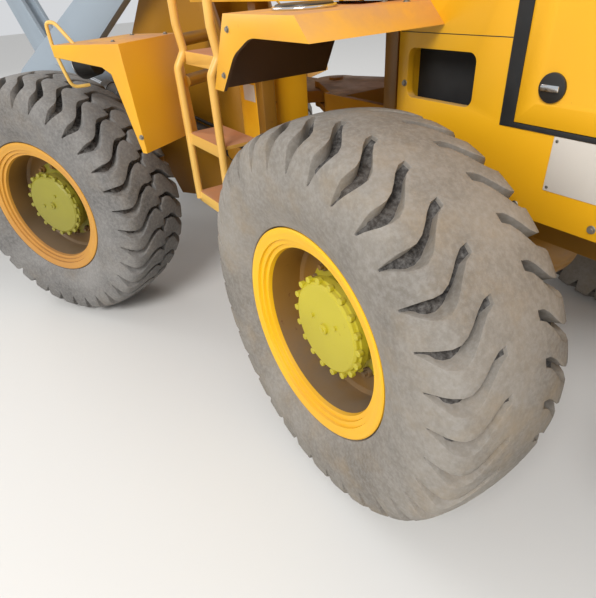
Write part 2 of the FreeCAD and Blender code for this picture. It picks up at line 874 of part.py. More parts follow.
def power_train():
    """Engine block, gearbox with its shafts, and the rear half of the joint at the pivot."""
    node("engine", box(("-engine_rear", "-engine_front"), ("-engine_half", "engine_half"),
                       ("engine_low", "engine_high")))
    tongue_half = "(joint_radius * 0.4)"
    gap = "(fit * 4)"
    yoke_level = ((f"shaft_height + {tongue_half} + {gap}", "shaft_height + joint_radius * 0.8"),
                  ("shaft_height - joint_radius * 0.8", f"shaft_height - {tongue_half} - {gap}"))
    parts = [
        box(("-gearbox_rear", "-gearbox_front"), ("-gearbox_half", "gearbox_half"), ("gearbox_low", "gearbox_high")),
        box(("-gearbox_rear + post_width", "-gearbox_front - post_width"),
            ("-chassis_half + chassis_wall", "chassis_half - chassis_wall"),
            ("chassis_top - post_width", "chassis_top")),
        rod("x", ("0", "engine_low + shaft_radius + shaft_room"), "shaft_radius", "-engine_front", "-gearbox_rear"),
        rod("x", ("0", "shaft_height"), "shaft_radius", "-rear_axle + nose_length", "-gearbox_rear"),
        rod("x", ("0", "shaft_height"), "shaft_radius", "-gearbox_front", "-joint_radius * 1.6"),
        rod("x", ("0", "shaft_height"), "joint_radius * 0.8", "-joint_radius * 1.8", "-joint_radius * 1.3"),
        rod("z", ("0", "0"), "joint_pin", "shaft_height - joint_radius * 0.8", "shaft_height + joint_radius * 0.8"),
    ]
    for level in yoke_level:
        parts.append(box(("-joint_radius * 1.4", "0"), ("-joint_radius * 0.6", "joint_radius * 0.6"), level))
        parts.append(rod("z", ("0", "0"), "joint_radius * 0.6", *level))
    node("transmission", fuse(*parts))
    tongue_level = (f"shaft_height - {tongue_half}", f"shaft_height + {tongue_half}")
    tongue = cut(fuse(
        box(("0", "joint_radius * 1.6"), ("-joint_radius * 0.55", "joint_radius * 0.55"), tongue_level),
        rod("z", ("0", "0"), "joint_radius * 0.6", *tongue_level),
        rod("x", ("0", "shaft_height"), "shaft_radius", "joint_radius * 1.5", "front_axle - nose_length - member"),
        ), rod("z", ("0", "0"), "joint_pin + fit", "0", "shaft_height * 2"))
    node("front_propshaft", tongue, "front")


def side_tanks():
    """Tank beside the chassis under each side of the cab, rounded along its outer edges."""
    tank = prism("z", [
        ("-post_front", "tank_inner"),
        ("-tank_front", "tank_inner"),
        ("-tank_front", "tank_half"),
        ("-post_front", "tank_half"),
    ], "tank_low", "tank_high")
    rounded(tank, "tank_corner", along("z", lambda centre: centre.y > size("tank_half") - 1
                                       and centre.x > -size("tank_front") - 1))
    node("side_tanks", both(tank))


# Cab

def opening(wall, across, level):
    """Limits of one window or door opening, cut through a wall."""
    return box(wall, across, level)


WINDSCREEN = (("-cab_half + cab_post", "cab_half - cab_post"), ("front_sill", "cab_eaves - head_rail"))
REAR_WINDOW = (("-cab_half + 2 * cab_post", "cab_half - 2 * cab_post"), ("window_sill", "cab_eaves - head_rail"))
QUARTER = (("-door_front + cab_post", "cab_front - cab_post"), ("window_sill", "cab_eaves - head_rail"))


def cab_shell():
    """Hollow cab with its windows and the two door openings cut."""
    outer = box(("-cab_rear", "cab_front"), ("-cab_half", "cab_half"), ("cab_floor", "cab_eaves"))
    inner = box(("-cab_rear + cab_wall", "cab_front - cab_wall"), ("-cab_half + cab_wall", "cab_half - cab_wall"),
                ("cab_floor + cab_base", "cab_eaves"))
    tools = [
        opening(("cab_front - 2 * cab_wall", "cab_front"), *WINDSCREEN),
        opening(("-cab_rear", "-cab_rear + 2 * cab_wall"), *REAR_WINDOW),
    ]
    for low, high in (("cab_half - cab_wall", "cab_half"), ("-cab_half", "-cab_half + cab_wall")):
        across, level = QUARTER
        tools.append(box(across, (low, high), level))
        tools.append(box(("-door_rear", "-door_front"), (low, high), ("door_floor", "door_top")))
    hinges = []
    for low, high in CAB_HINGE_CASE:
        hinges.append(rod("z", ("-door_rear", "cab_half + hood_hinge"), "hood_hinge", low, high))
        hinges.append(box(("-cab_rear", "-door_rear"), ("cab_half", "cab_half + hood_hinge / 2"), (low, high)))
    node("cab_shell", fuse(cut(outer, inner, *tools), both(*hinges)))


CAB_HINGE_CASE = (
    ("door_floor + 160", "door_floor + 200"),
    ("door_top - 200", "door_top - 160"),
)
CAB_HINGE_DOOR = (
    ("door_floor + 201", "door_floor + 260"),
    ("door_top - 260", "door_top - 201"),
)


def cab_glass():
    """Windscreen, rear window and quarter lights, in the middle of the walls."""
    middle = "cab_wall / 2 - glass_wall / 2"
    across, level = QUARTER
    node("cab_glass", fuse(
        box((f"cab_front - {middle} - glass_wall", f"cab_front - {middle}"), *WINDSCREEN),
        box((f"-cab_rear + {middle}", f"-cab_rear + {middle} + glass_wall"), *REAR_WINDOW),
        both(box(across, (f"cab_half - {middle} - glass_wall", f"cab_half - {middle}"), level)),
    ))


def cab_doors():
    """Cab doors with their glass, each on two hinges along its rear edge."""
    face = ("cab_half - door_wall", "cab_half")
    window = (("-door_rear + door_gap + door_frame", "-door_front - door_gap - door_frame"),
              ("door_window", "door_top - door_gap - door_frame"))
    for side in ("left", "right"):
        panel = cut(
            box(("-door_rear + door_gap", "-door_front - door_gap"), face,
                ("door_floor + door_gap", "door_top - door_gap")),
            box(window[0], face, window[1]))
        knuckles = [rod("z", ("-door_rear", "cab_half + hood_hinge"), "hood_hinge", low, high)
                    for low, high in CAB_HINGE_DOOR]
        leaves = [box(("-door_rear", "-door_rear + 5 * hood_hinge"), ("cab_half", "cab_half + hood_hinge / 2"),
                      (low, high)) for low, high in CAB_HINGE_DOOR]
        handle = box(("-door_front - door_gap - door_frame", "-door_front - door_gap - door_frame / 2"),
                     ("cab_half", "cab_half + 2 * hood_hinge"), ("door_window - 3 * door_frame", "door_window - door_frame"))
        door = fuse(panel, *knuckles, *leaves, handle)
        glass = box(window[0], ("cab_half - door_wall / 2 - glass_wall / 2", "cab_half - door_wall / 2 + glass_wall / 2"),
                    window[1])
        node(f"cab_door_{side}", door if side == "left" else mirrored(door))
        node(f"door_glass_{side}", glass if side == "left" else mirrored(glass))


def cab_roof():
    """Roof slab over the cab, rounded at its corners."""
    roof = prism("z", [
        ("-cab_rear - roof_lip", "-cab_half - roof_lip / 2"),
        ("cab_front + roof_lip", "-cab_half - roof_lip / 2"),
        ("cab_front + roof_lip", "cab_half + roof_lip / 2"),
        ("-cab_rear - roof_lip", "cab_half + roof_lip / 2"),
    ], "cab_eaves", "cab_eaves + roof_thickness")
    node("cab_roof", rounded(roof, "roof_lip", along("z")))


def cab_inside():
    """Seat on its pedestal, and the steering column with its wheel."""
    floor = "(cab_floor + cab_base)"
    top = f"({floor} + seat_rise)"
    seat = fuse(
        box(("-seat_rear + seat_back_wall", "-seat_front - seat_back_wall"), ("-seat_half / 2", "seat_half / 2"),
            (floor, f"{top} - seat_pad")),
        box(("-seat_rear", "-seat_front"), ("-seat_half", "seat_half"), (f"{top} - seat_pad", top)),
        box(("-seat_rear", "-seat_rear + seat_back_wall"), ("-seat_half", "seat_half"),
            (top, f"{top} + seat_back")))
    node("operator_seat", seat)
    foot = Vector(-size("column_foot"), 0, size("cab_floor") + size("cab_base"))
    head = Vector(-size("column_head"), 0, size("column_height"))
    run = head - foot
    lean = run.normalize()
    column = Part.makeCylinder(size("column_radius"), head.distanceToPoint(foot), foot, lean)
    reach = head.z
    level = Part.makeBox(2 * reach, 2 * reach, reach, Vector(-reach, -reach, foot.z))
    ring = Part.makeTorus(size("wheel_ring"), size("wheel_grip"), head, lean)
    hub = Part.makeCylinder(size("column_radius") * 1.4, size("wheel_grip") * 2, head - lean * size("wheel_grip"), lean)
    spokes = []
    for angle in (90, 210, 330):
        spoke = Part.makeCylinder(size("wheel_grip") * 0.8, size("wheel_ring"), Vector(), Vector(1, 0, 0))
        spoke.Placement = Placement(head, Rotation(Vector(0, 0, 1), lean) * Rotation(Vector(0, 0, 1), angle))
        spokes.append(spoke)
    base = Part.makeBox(size("column_base_length"), size("column_base_width"), size("column_base_height"),
                        Vector(foot.x - size("column_base_length") / 2, -size("column_base_width") / 2, foot.z))
    node("steering_column", made(column.fuse([ring, hub, base] + spokes).common(level).removeSplitter()))


# Outside fittings of the rear frame

def in_arch(centre):
    """True for a place on the edge of a rear fender's skirt that curves over the wheel."""
    level = size("fender_top") - size("fender_skirt")
    return size("fender_low") + size("fender_wall") < centre.z < level + size("fender_wall") and (
        centre.x > -size("fender_rear") + size("fender_wall"))


def rear_fenders():
    """Step plate over each rear wheel, with a skirt, a sloping front and a rear lip."""
    top = box(("-fender_rear", "-fender_front"), ("fender_inner", "fender_outer"),
              ("fender_top - fender_wall", "fender_top"))
    front = prism("y", [
        ("-fender_front", "fender_top"),
        ("-fender_front - fender_wall", "fender_top"),
        ("-fender_tip - fender_wall", "fender_low"),
        ("-fender_tip", "fender_low"),
    ], "fender_inner", "fender_outer")
    skirt = rounded(prism("y", [
        ("-fender_rear", "fender_top"),
        ("-fender_rear - fender_lip", "fender_top - fender_skirt"),
        ("-fender_front - fender_skirt * 2.6", "fender_top - fender_skirt"),
        ("-fender_front - fender_skirt * 0.7", "fender_top - fender_skirt * 1.9"),
        ("-fender_tip - fender_leg", "fender_low"),
        ("-fender_tip", "fender_low"),
        ("-fender_front", "fender_top"),
    ], "fender_outer - fender_wall", "fender_outer"), "fender_skirt * 2.4", along("y", in_arch))
    rear = prism("y", [
        ("-fender_rear", "fender_top"),
        ("-fender_rear + fender_wall", "fender_top"),
        ("-fender_rear - fender_lip + fender_wall", "fender_top - fender_skirt"),
        ("-fender_rear - fender_lip", "fender_top - fender_skirt"),
    ], "fender_inner", "fender_outer")
    node("rear_fenders", both(top, front, skirt, rear))


def ladders():
    """Ladder on each side: two bent rails, two steps and a tray at the top."""
    parts = []
    for place in ("ladder_rear", "ladder_front"):
        x = -size(place)
        side = size("tank_half") + size("ladder_out")
        pinch = size("ladder_pinch")
        tray = size("ladder_tray")
        rail = [
            (x, side, size("ladder_foot")),
            (x, side, tray - size("ladder_bend")),
            (x, side - pinch, tray),
            (x, side - pinch * 0.6, tray + size("ladder_bend") * 1.7),
            (x, side - pinch * 0.6, size("ladder_top")),
            (x, size("cab_half"), size("ladder_top")),
        ]
        parts.append(made(bent_tube(rail, size("ladder_tube"), size("ladder_bend") * 0.6)))
    for level in ("step_low", "step_high"):
        length = ("-ladder_rear", "-ladder_front")
        edge = "tank_half + ladder_out"
        parts.append(box(length, (f"{edge} - step_depth + ladder_tube", edge), (f"{level} - step_wall", level)))
        parts.append(box(length, (f"{edge} - step_wall", edge), (f"{level} - step_skirt", level)))
    parts.append(box(("-ladder_rear", "-ladder_front"), ("tank_half", "tank_half + ladder_out - ladder_pinch"),
                     ("ladder_tray - step_skirt", "ladder_tray")))
    node("ladders", both(*parts))


def roof_high_fittings():
    """Exhaust stack and air precleaner, seated on the hood."""
    hood = prism("y", HOOD_OUTLINE, "-body_half", "body_half")
    place = ("-exhaust_back", "-exhaust_side")
    stack = fuse(
        rod("z", place, "exhaust_radius * 1.5", "hood_top - 2 * hood_drop", "hood_top + exhaust_radius"),
        rod("z", place, "muffler_radius", "hood_top + exhaust_radius", "hood_top + exhaust_radius + muffler_height"),
        rod("z", place, "exhaust_radius", "hood_top + exhaust_radius + muffler_height", "exhaust_top"))
    pipe_bore = rod("z", place, "exhaust_radius - exhaust_wall", "exhaust_top - muffler_height / 2", "exhaust_top")
    node("exhaust_stack", cut(stack, hood, pipe_bore))
    place = ("-cleaner_back", "cleaner_side")
    hood_again = prism("y", HOOD_OUTLINE, "-body_half", "body_half")
    cleaner = fuse(
        rod("z", place, "cleaner_neck", "hood_top - 2 * hood_drop", "hood_top + cleaner_height"),
        rod("z", place, "cleaner_radius", "hood_top + cleaner_height", "hood_top + 2 * cleaner_height"),
        cone("z", place, ("cleaner_radius", "cleaner_neck"), "hood_top + 2 * cleaner_height",
             "hood_top + 2.4 * cleaner_height"))
    node("air_precleaner", cut(cleaner, hood_again))


def lamps():
    """Tail lamps on the counterweight and headlamps under the front fenders' front edges."""
    tail = box(("-weight_rear - lamp_proud", "-weight_rear"),
               ("tail_lamp_side - tail_lamp_width", "tail_lamp_side"),
               ("weight_top - 2 * tail_lamp_height", "weight_top - tail_lamp_height"))
    node("tail_lamps", both(tail))
    lamp_height = "(front_fender_top - lamp_foot - lamp_radius)"
    front_edge = "(front_axle - front_fender_front)"
    lamp = fuse(
        cone("x", ("lamp_side", lamp_height), ("lamp_radius * 0.7", "lamp_radius"),
             f"{front_edge} - lamp_foot", f"{front_edge} - lamp_foot + lamp_depth"),
        box((f"{front_edge} - lamp_depth", f"{front_edge} - lamp_foot"),
            ("lamp_side - lamp_foot", "lamp_side + lamp_foot"),
            (f"{lamp_height} + lamp_radius * 0.1", "front_fender_top - fender_wall")),
        box((f"{front_edge} - lamp_foot", f"{front_edge} + lamp_foot"),
            ("lamp_side - lamp_foot", "lamp_side + lamp_foot"),
            (f"{lamp_height} + lamp_radius * 0.1", "front_fender_top - fender_wall")))
    node("headlamps", both(lamp), "front")


# Front frame

ARM_PIN = ("front_axle - arm_pin_back", "arm_pin_height")
HINGE = ("front_axle + arm_hinge_reach", "arm_hinge_height")
CRANK = ("front_axle + crank_reach", "crank_height")
CRANK_TOP = ("front_axle + crank_top_reach", "crank_top_height")
CRANK_LOW = ("front_axle + crank_low_reach", "crank_low_height")
LINK_EYE = ("front_axle + link_reach", "link_height")
TILT_BASE = ("front_axle - tilt_base_back", "tilt_base_height")
LIFT_BASE = ("front_axle - lift_base_back", "lift_base_height")
LIFT_EYE = ("front_axle + lift_eye_reach", "lift_eye_height")


def front_chassis():
    """Side plates that rise into the tower, with the pivot lugs and the pins of the arms."""
    inner = "(plate_half - plate_wall)"
    side = prism("y", [
        ("bulkhead", "front_floor"),
        ("front_axle - axle_seat", "front_floor"),
        ("front_axle - axle_seat * 0.6", "front_seat"),
        ("front_axle + chassis_front - axle_seat / 4", "front_seat"),
        ("front_axle + chassis_front", "front_deck"),
        ("front_axle + chassis_front", "front_deck + axle_seat / 3"),
        ("front_axle", "front_top"),
        ("front_axle - tower_front", "arm_pin_height - arm_boss"),
        ("front_axle - tower_front - post_width", "arm_pin_height + arm_boss * 0.7"),
        ("front_axle - arm_pin_back - arm_boss", "arm_pin_height + arm_boss * 0.7"),
        ("front_axle - tower_rear + post_width / 2", "front_top + axle_seat * 0.8"),
        ("bulkhead", "front_top"),
    ], inner, "plate_half")
    parts = [both(side)]
    boss_end = "(arm_centre - arm_wall / 2 - pin_gap)"
    arm_out = "(arm_centre + arm_wall / 2 + pin_gap)"
    parts.append(both(
        rod("y", ARM_PIN, "arm_boss", inner, "plate_half"),
        rod("y", ARM_PIN, "arm_boss - arm_cap", "plate_half", boss_end),
        rod("y", ARM_PIN, "arm_pin_radius", boss_end, arm_out),
        rod("y", ARM_PIN, "arm_pin_radius + arm_cap", arm_out, f"{arm_out} + arm_cap"),
        rod("y", LIFT_BASE, "lift_boss", "plate_half", "lift_side - lift_eye_half - pin_gap"),
        rod("y", LIFT_BASE, "lift_pin", "plate_half", "lift_side + lift_eye_half + pin_gap"),
        rod("y", LIFT_BASE, "lift_pin + arm_cap", "lift_side + lift_eye_half + pin_gap",
            "lift_side + lift_eye_half + pin_gap + arm_cap")))
    bulkhead = box(("bulkhead", "bulkhead + bulkhead_wall"), (f"-{inner}", inner), ("front_floor", "front_top"))
    parts.append(cut(bulkhead, rod("x", ("0", "shaft_height"), "shaft_radius + shaft_room", "0", "front_axle")))
    parts.append(box(("front_axle + chassis_front - bulkhead_wall", "front_axle + chassis_front"),
                     (f"-{inner}", inner), ("front_deck", "front_deck + axle_seat / 3")))
    parts.append(box(("front_axle - tower_front - bulkhead_wall * 4", "front_axle - tower_front - bulkhead_wall * 3"),
                     (f"-{inner}", inner), ("front_top", "tilt_base_height - axle_seat * 0.6")))
    lug_plan = [
        ("bulkhead", f"-{inner}"),
        ("bulkhead", inner),
        ("0", "lug_half"),
        ("0", "-lug_half"),
    ]
    pivot_bore = rod("z", ("0", "0"), "pivot_radius + fit", "0", "front_top")
    for lug, _ in LUGS:
        level = (f"{lug} - lug_thickness / 2", f"{lug} + lug_thickness / 2")
        parts.append(fuse(prism("z", lug_plan, *level), rod("z", ("0", "0"), "lug_half", *level)))
    # Cross tube and cheeks that hold the tilt cylinder
    cross = ("front_axle - tilt_base_back", "tilt_base_height - tilt_radius * 2.2")
    parts.append(rod("y", cross, "tilt_radius * 0.8", f"-{inner}", inner))
    cheek_in = "(eye_half + play)"
    cheek_out = "(eye_half + play + ear_wall)"
    cheek = prism("y", [
        ("front_axle - tilt_base_back - tilt_radius * 0.7", cross[1]),
        ("front_axle - tilt_base_back + tilt_radius * 0.4", cross[1]),
        ("front_axle - tilt_base_back + tilt_radius * 0.4", "tilt_base_height"),
        ("front_axle - tilt_base_back - tilt_radius * 0.8", "tilt_base_height"),
    ], cheek_in, cheek_out)
    parts.append(both(cheek, rod("y", TILT_BASE, "tilt_radius * 0.8", cheek_in, cheek_out),
                      rod("y", TILT_BASE, "link_pin", "0", cheek_out)))
    # Brackets of the steering cylinders and stays of the fenders
    for low, high in (("-steer_eye_half - play - steer_plate", "-steer_eye_half - play"),
                      ("steer_eye_half + play", "steer_eye_half + play + steer_plate")):
        level = (f"steer_height + ({low})", f"steer_height + ({high})")
        parts.append(both(
            box(("steer_eye_reach", "bulkhead"), ("steer_eye_side - steer_eye_radius", "plate_half"), level),
            rod("z", ("steer_eye_reach", "steer_eye_side"), "steer_eye_radius", *level)))
    for place, level in (("stay_high_place", "front_fender_top - fender_wall - fender_stay"),
                         ("stay_low_place", "front_fender_top - front_fender_skirt * 2.4")):
        parts.append(both(rod("y", (place, level), "fender_stay", "plate_half", "front_fender_inner")))
    node("front_chassis", cut(fuse(*parts), pivot_bore), "front")


def front_fenders():
    """Flat fender behind each front wheel, with a skirt and a sloping rear plate."""
    reach = {name: f"front_axle - front_fender_{name}" for name in ("rear", "front")}
    inward = ("front_fender_inner", "front_fender_outer")
    edge = ("front_fender_outer - fender_wall", "front_fender_outer")
    top = prism("z", [
        (f"{reach['rear']} + fender_wall", "front_fender_inner"),
        (f"{reach['front']} - front_fender_skirt", "front_fender_inner"),
        (reach["front"], "front_fender_outer"),
        (f"{reach['rear']} + fender_wall", "front_fender_outer"),
    ], "front_fender_top - fender_wall", "front_fender_top")
    rear = prism("y", [
        (f"{reach['rear']} + 2 * fender_wall", "front_fender_top"),
        (f"{reach['rear']} + fender_wall", "front_fender_top"),
        (f"{reach['rear']} - fender_wall", "front_fender_low"),
        (reach["rear"], "front_fender_low"),
    ], *inward)
    skirt = prism("y", [
        (f"{reach['rear']} + fender_wall", "front_fender_top"),
        (f"{reach['rear']} - fender_wall", "front_fender_low"),
        (f"{reach['rear']} + fender_wall", "front_fender_low"),
        (f"{reach['rear']} + front_fender_skirt", "front_fender_top - front_fender_skirt * 1.3"),
        (f"{reach['rear']} + front_fender_skirt * 1.5", "front_fender_top - front_fender_skirt"),
        (reach["front"], "front_fender_top - front_fender_skirt * 0.55"),
        (reach["front"], "front_fender_top"),
    ], *edge)
    node("front_fenders", both(top, rear, skirt), "front")


# Working arm

def lift_arm():
    """Two bent arms joined by a cross tube that carries the bell crank."""
    low_line = "knee_low_height + (knee_low_reach + arm_pin_back) * tan(arm_slope)"
    diagonal = "arm_hinge_boss * 0.7"
    across = ("arm_centre - arm_wall / 2", "arm_centre + arm_wall / 2")
    side = prism("y", [
        (ARM_PIN[0], low_line),
        ("front_axle + knee_low_reach", "knee_low_height"),
        (f"{HINGE[0]} - {diagonal}", f"{HINGE[1]} - {diagonal}"),
        (f"{HINGE[0]} + {diagonal}", f"{HINGE[1]} + {diagonal}"),
        ("front_axle + knee_high_reach", "knee_high_height"),
        (ARM_PIN[0], f"{ARM_PIN[1]} + arm_boss * 0.98"),
    ], *across)
    arm = cut(
        fuse(side, rod("y", ARM_PIN, "arm_boss", *across), rod("y", HINGE, "arm_hinge_boss", *across)),
        rod("y", ARM_PIN, "arm_pin_radius + fit", *across),
        rod("y", HINGE, "bucket_pin + fit", *across))
    eye_boss = rod("y", LIFT_EYE, "lift_boss", across[1], f"{across[1]} + arm_cap")
    cross_place = ("front_axle + cross_reach", "cross_height")
    tube = rod("y", cross_place, "cross_radius", f"-({across[0]})", across[0])
    bracket = prism("y", [
        (cross_place[0], f"{cross_place[1]} - cross_radius * 0.9"),
        (CRANK[0], f"{CRANK[1]} - crank_eye"),
        (CRANK[0], f"{CRANK[1]} + crank_eye"),
        (cross_place[0], f"{cross_place[1]} + cross_radius * 0.9"),
    ], "-eye_half", "eye_half")
    bracket_eye = rod("y", CRANK, "crank_eye", "-eye_half", "eye_half")
    crank_bore = rod("y", CRANK, "link_pin + fit", "-eye_half", "eye_half")
    node("lift_arm", fuse(both(arm, eye_boss), cut(fuse(tube, bracket, bracket_eye), crank_bore)), "front")


def bell_crank():
    """Bell crank of two plates on one pin, with bosses at both of its ends."""
    plate = prism("y", [
        (f"{CRANK_TOP[0]} - crank_eye", CRANK_TOP[1]),
        (f"{CRANK_TOP[0]} + crank_eye", CRANK_TOP[1]),
        (f"{CRANK[0]} + crank_boss", CRANK[1]),
        (f"{CRANK_LOW[0]} + crank_eye", CRANK_LOW[1]),
        (f"{CRANK_LOW[0]} - crank_eye", CRANK_LOW[1]),
        (f"{CRANK[0]} - crank_boss", CRANK[1]),
    ], "crank_half", "crank_half + crank_wall")
    across = ("crank_half", "crank_half + crank_wall")
    outside = ("crank_half + crank_wall", "crank_half + crank_wall + arm_cap")
    node("bell_crank", both(
        plate,
        rod("y", CRANK_TOP, "crank_eye", *across),
        rod("y", CRANK_LOW, "crank_eye", *across),
        rod("y", CRANK, "crank_boss", *across),
        rod("y", CRANK_TOP, "crank_eye * 0.7", *outside),
        rod("y", CRANK_LOW, "crank_eye * 0.7", *outside),
        rod("y", CRANK, "crank_eye * 0.7", *outside),
        rod("y", CRANK, "link_pin", "0", "crank_half")), "front")


def bucket_link():
    """Link from the bell crank to the bucket, its rear eye plugged by its own pin."""
    across = ("-eye_half", "eye_half")
    bar = prism("y", [
        (CRANK_LOW[0], f"{CRANK_LOW[1]} - link_depth / 2"),
        (LINK_EYE[0], f"{LINK_EYE[1]} - link_depth / 2"),
        (LINK_EYE[0], f"{LINK_EYE[1]} + link_depth / 2"),
        (CRANK_LOW[0], f"{CRANK_LOW[1]} + link_depth / 2"),
    ], *across)
    node("bucket_link", cut(
        fuse(bar, rod("y", CRANK_LOW, "crank_eye * 0.9", *across), rod("y", LINK_EYE, "crank_eye * 0.9", *across)),
        rod("y", LINK_EYE, "link_pin + fit", *across)), "front")


def bucket():
    """Bucket of bent plate with cheeks, and the ears that hold its pins."""
    hinge_x, hinge_z = HINGE
    outer = prism("y", [
        (f"{hinge_x} + bucket_back", f"{hinge_z} - bucket_floor"),
        (f"{hinge_x} + bucket_length", f"{hinge_z} - bucket_floor"),
        (f"{hinge_x} + bucket_length", f"{hinge_z} - bucket_floor + bucket_wall"),
        (f"{hinge_x} + bucket_length * 0.62", f"{hinge_z} + bucket_top * 0.42"),
        (f"{hinge_x} + bucket_back + bucket_lean + bucket_wall", f"{hinge_z} + bucket_top"),
        (f"{hinge_x} + bucket_back + bucket_lean", f"{hinge_z} + bucket_top"),
    ], "-bucket_half", "bucket_half")
    heel_x = size("front_axle") + size("arm_hinge_reach") + size("bucket_back")
    heel_z = size("arm_hinge_height") - size("bucket_floor")
    rounded(outer, "bucket_heel",
            along("y", lambda centre: abs(centre.x - heel_x) < 1 and abs(centre.z - heel_z) < 1))
    inner = prism("y", [
        (f"{hinge_x} + bucket_back + bucket_wall", f"{hinge_z} - bucket_floor + bucket_wall"),
        (f"{hinge_x} + bucket_length * 1.2", f"{hinge_z} - bucket_floor + bucket_wall"),
        (f"{hinge_x} + bucket_length * 1.2", f"{hinge_z} + bucket_top * 1.2"),
        (f"{hinge_x} + bucket_back + bucket_lean * 1.25 + bucket_wall", f"{hinge_z} + bucket_top * 1.2"),
        (f"{hinge_x} + bucket_back + bucket_lean + bucket_wall", f"{hinge_z} + bucket_top"),
    ], "-bucket_half + bucket_cheek", "bucket_half - bucket_cheek")
    wall = size("bucket_wall")
    rounded(inner, "bucket_heel - bucket_wall",
            along("y", lambda centre: abs(centre.x - heel_x - wall) < 1 and abs(centre.z - heel_z - wall) < 1))
    parts = [cut(outer, inner)]
    low_root = (f"{hinge_x} + bucket_back + bucket_wall * 0.5", f"{hinge_z} - bucket_floor + bucket_heel")
    high_root = (f"{hinge_x} + bucket_back + bucket_wall * 0.9 + bucket_lean / 3", f"{hinge_z} + bucket_top / 3")
    ear = [low_root, high_root, (hinge_x, f"{hinge_z} + arm_hinge_boss * 0.9"), (hinge_x, f"{hinge_z} - arm_hinge_boss * 0.9")]
    arm_in = "(arm_centre - arm_wall / 2 - play)"
    arm_out = "(arm_centre + arm_wall / 2 + play)"
    for start, end in ((f"{arm_in} - ear_wall", arm_in), (arm_out, f"{arm_out} + ear_wall")):
        parts.append(both(prism("y", ear, start, end), rod("y", HINGE, "arm_hinge_boss * 0.9", start, end)))
    parts.append(both(rod("y", HINGE, "bucket_pin", f"{arm_in} - ear_wall - arm_cap", f"{arm_out} + ear_wall + arm_cap")))
    link_root = (f"{hinge_x} + bucket_back + bucket_wall * 0.9 + bucket_lean / 3", f"{hinge_z} + bucket_top / 3")
    link_ear = [
        link_root,
        (f"{hinge_x} + bucket_back + bucket_wall * 0.5 + bucket_lean * 0.7", f"{hinge_z} + bucket_top * 0.65"),
        (LINK_EYE[0], f"{LINK_EYE[1]} + crank_eye * 0.9"),
        (LINK_EYE[0], f"{LINK_EYE[1]} - crank_eye * 0.9"),
    ]
    across = ("eye_half + play", "eye_half + play + ear_wall")
    parts.append(both(prism("y", link_ear, *across), rod("y", LINK_EYE, "crank_eye * 0.9", *across),
                      rod("y", LINK_EYE, "link_pin", "0", "eye_half + play + ear_wall + arm_cap")))
    node("bucket", fuse(*parts), "front")


def cutting_edge():
    """Edge plate under the lip of the bucket, with its row of teeth."""
    lip = "(front_axle + arm_hinge_reach + bucket_length)"
    floor = "(arm_hinge_height - bucket_floor)"
    plate = box((f"{lip} - edge_length", lip), ("-bucket_half", "bucket_half"), (f"{floor} - edge_wall", floor))
    teeth = []
    pitch = "((2 * bucket_half - tooth_width) / (tooth_count - 1))"
    for index in range(int(SIZES["tooth_count"])):
        start = f"-bucket_half + {pitch} * {index}"
        teeth.append(prism("y", [
            (f"{lip} - tooth_length", floor + " - edge_wall"),
            (f"{lip} + tooth_length", floor + " - edge_wall"),
            (f"{lip} + tooth_length", floor + " - edge_wall * 0.6"),
            (lip, floor + " - edge_wall + tooth_height"),
            (lip, floor + " - edge_wall * 0.5"),
            (f"{lip} - tooth_length", floor + " - edge_wall * 0.5"),
        ], start, f"{start} + tooth_width"))
    node("cutting_edge", fuse(plate, *teeth), "front")


# Hydraulic cylinders, each drawn along X from the pin of its barrel

def cylinder(axis, radius, rod_radius, barrel, eye_radius, eye_half, pin, length, rod_length):
    """Barrel with a bored eye, and a rod whose eye is plugged by its own pin."""
    tube = cut(
        fuse(rod("x", ("0", "0"), radius, "0", barrel),
             rod(axis, ("0", "0"), eye_radius, f"-{eye_half}", eye_half)),
        rod("x", ("0", "0"), f"{rod_radius} + fit", f"{eye_radius} + play", barrel),
        rod(axis, ("0", "0"), f"{pin} + fit", f"-{radius}", radius),
        slab(axis, radius, eye_radius, eye_half, "-1"),
        slab(axis, radius, eye_radius, eye_half, "1"))
    bar = fuse(
        rod("x", ("0", "0"), rod_radius, f"{length} - {rod_length}", f"{length} - {eye_radius} / 2"),
        rod(axis, (f"{length}", "0"), eye_radius, f"-{eye_half}", eye_half))
    return tube, bar


def slab(axis, radius, eye_radius, eye_half, sign):
    """Space beside a barrel's eye, which is narrower than the barrel."""
    sides = (f"{eye_half}", f"{radius} * 2") if sign == "1" else (f"-{radius} * 2", f"-{eye_half}")
    limits = {"y": (sides, (f"-{radius} * 2", f"{radius} * 2")), "z": ((f"-{radius} * 2", f"{radius} * 2"), sides)}
    return box((f"-{eye_radius} * 2", f"{eye_radius} + play"), *limits[axis])


def point(place, height):
    """Numbers of a place that is given as formulas of the front frame's side view."""
    probe = bind(doc.addObject("Part::Vertex", "Probe"), X=place, Z=height)
    doc.recompute()
    return Vector(probe.X.Value, 0, probe.Z.Value)


def arm_cylinder(names, base, eye, side, sizes, rod_length):
    """Cylinder of the working arm, or a pair of them, laid from its base to its eye."""
    start = point(*base)
    end = point(*eye)
    length = str(round((end - start).Length, 3))
    angle = math.degrees(math.atan2(end.z - start.z, end.x - start.x))
    place = Placement(start, Rotation(Vector(0, -1, 0), angle))
    shapes = cylinder("y", *sizes, length, rod_length)
    for name, shape in zip(names, shapes):
        if side:
            left = doc.addObject("Part::Compound", "Left")
            left.Links = [shape]
            bind(left, Placement__Base__y=side)
            shape = fuse(left, mirrored(left))
        node(name, shape, "front", place)


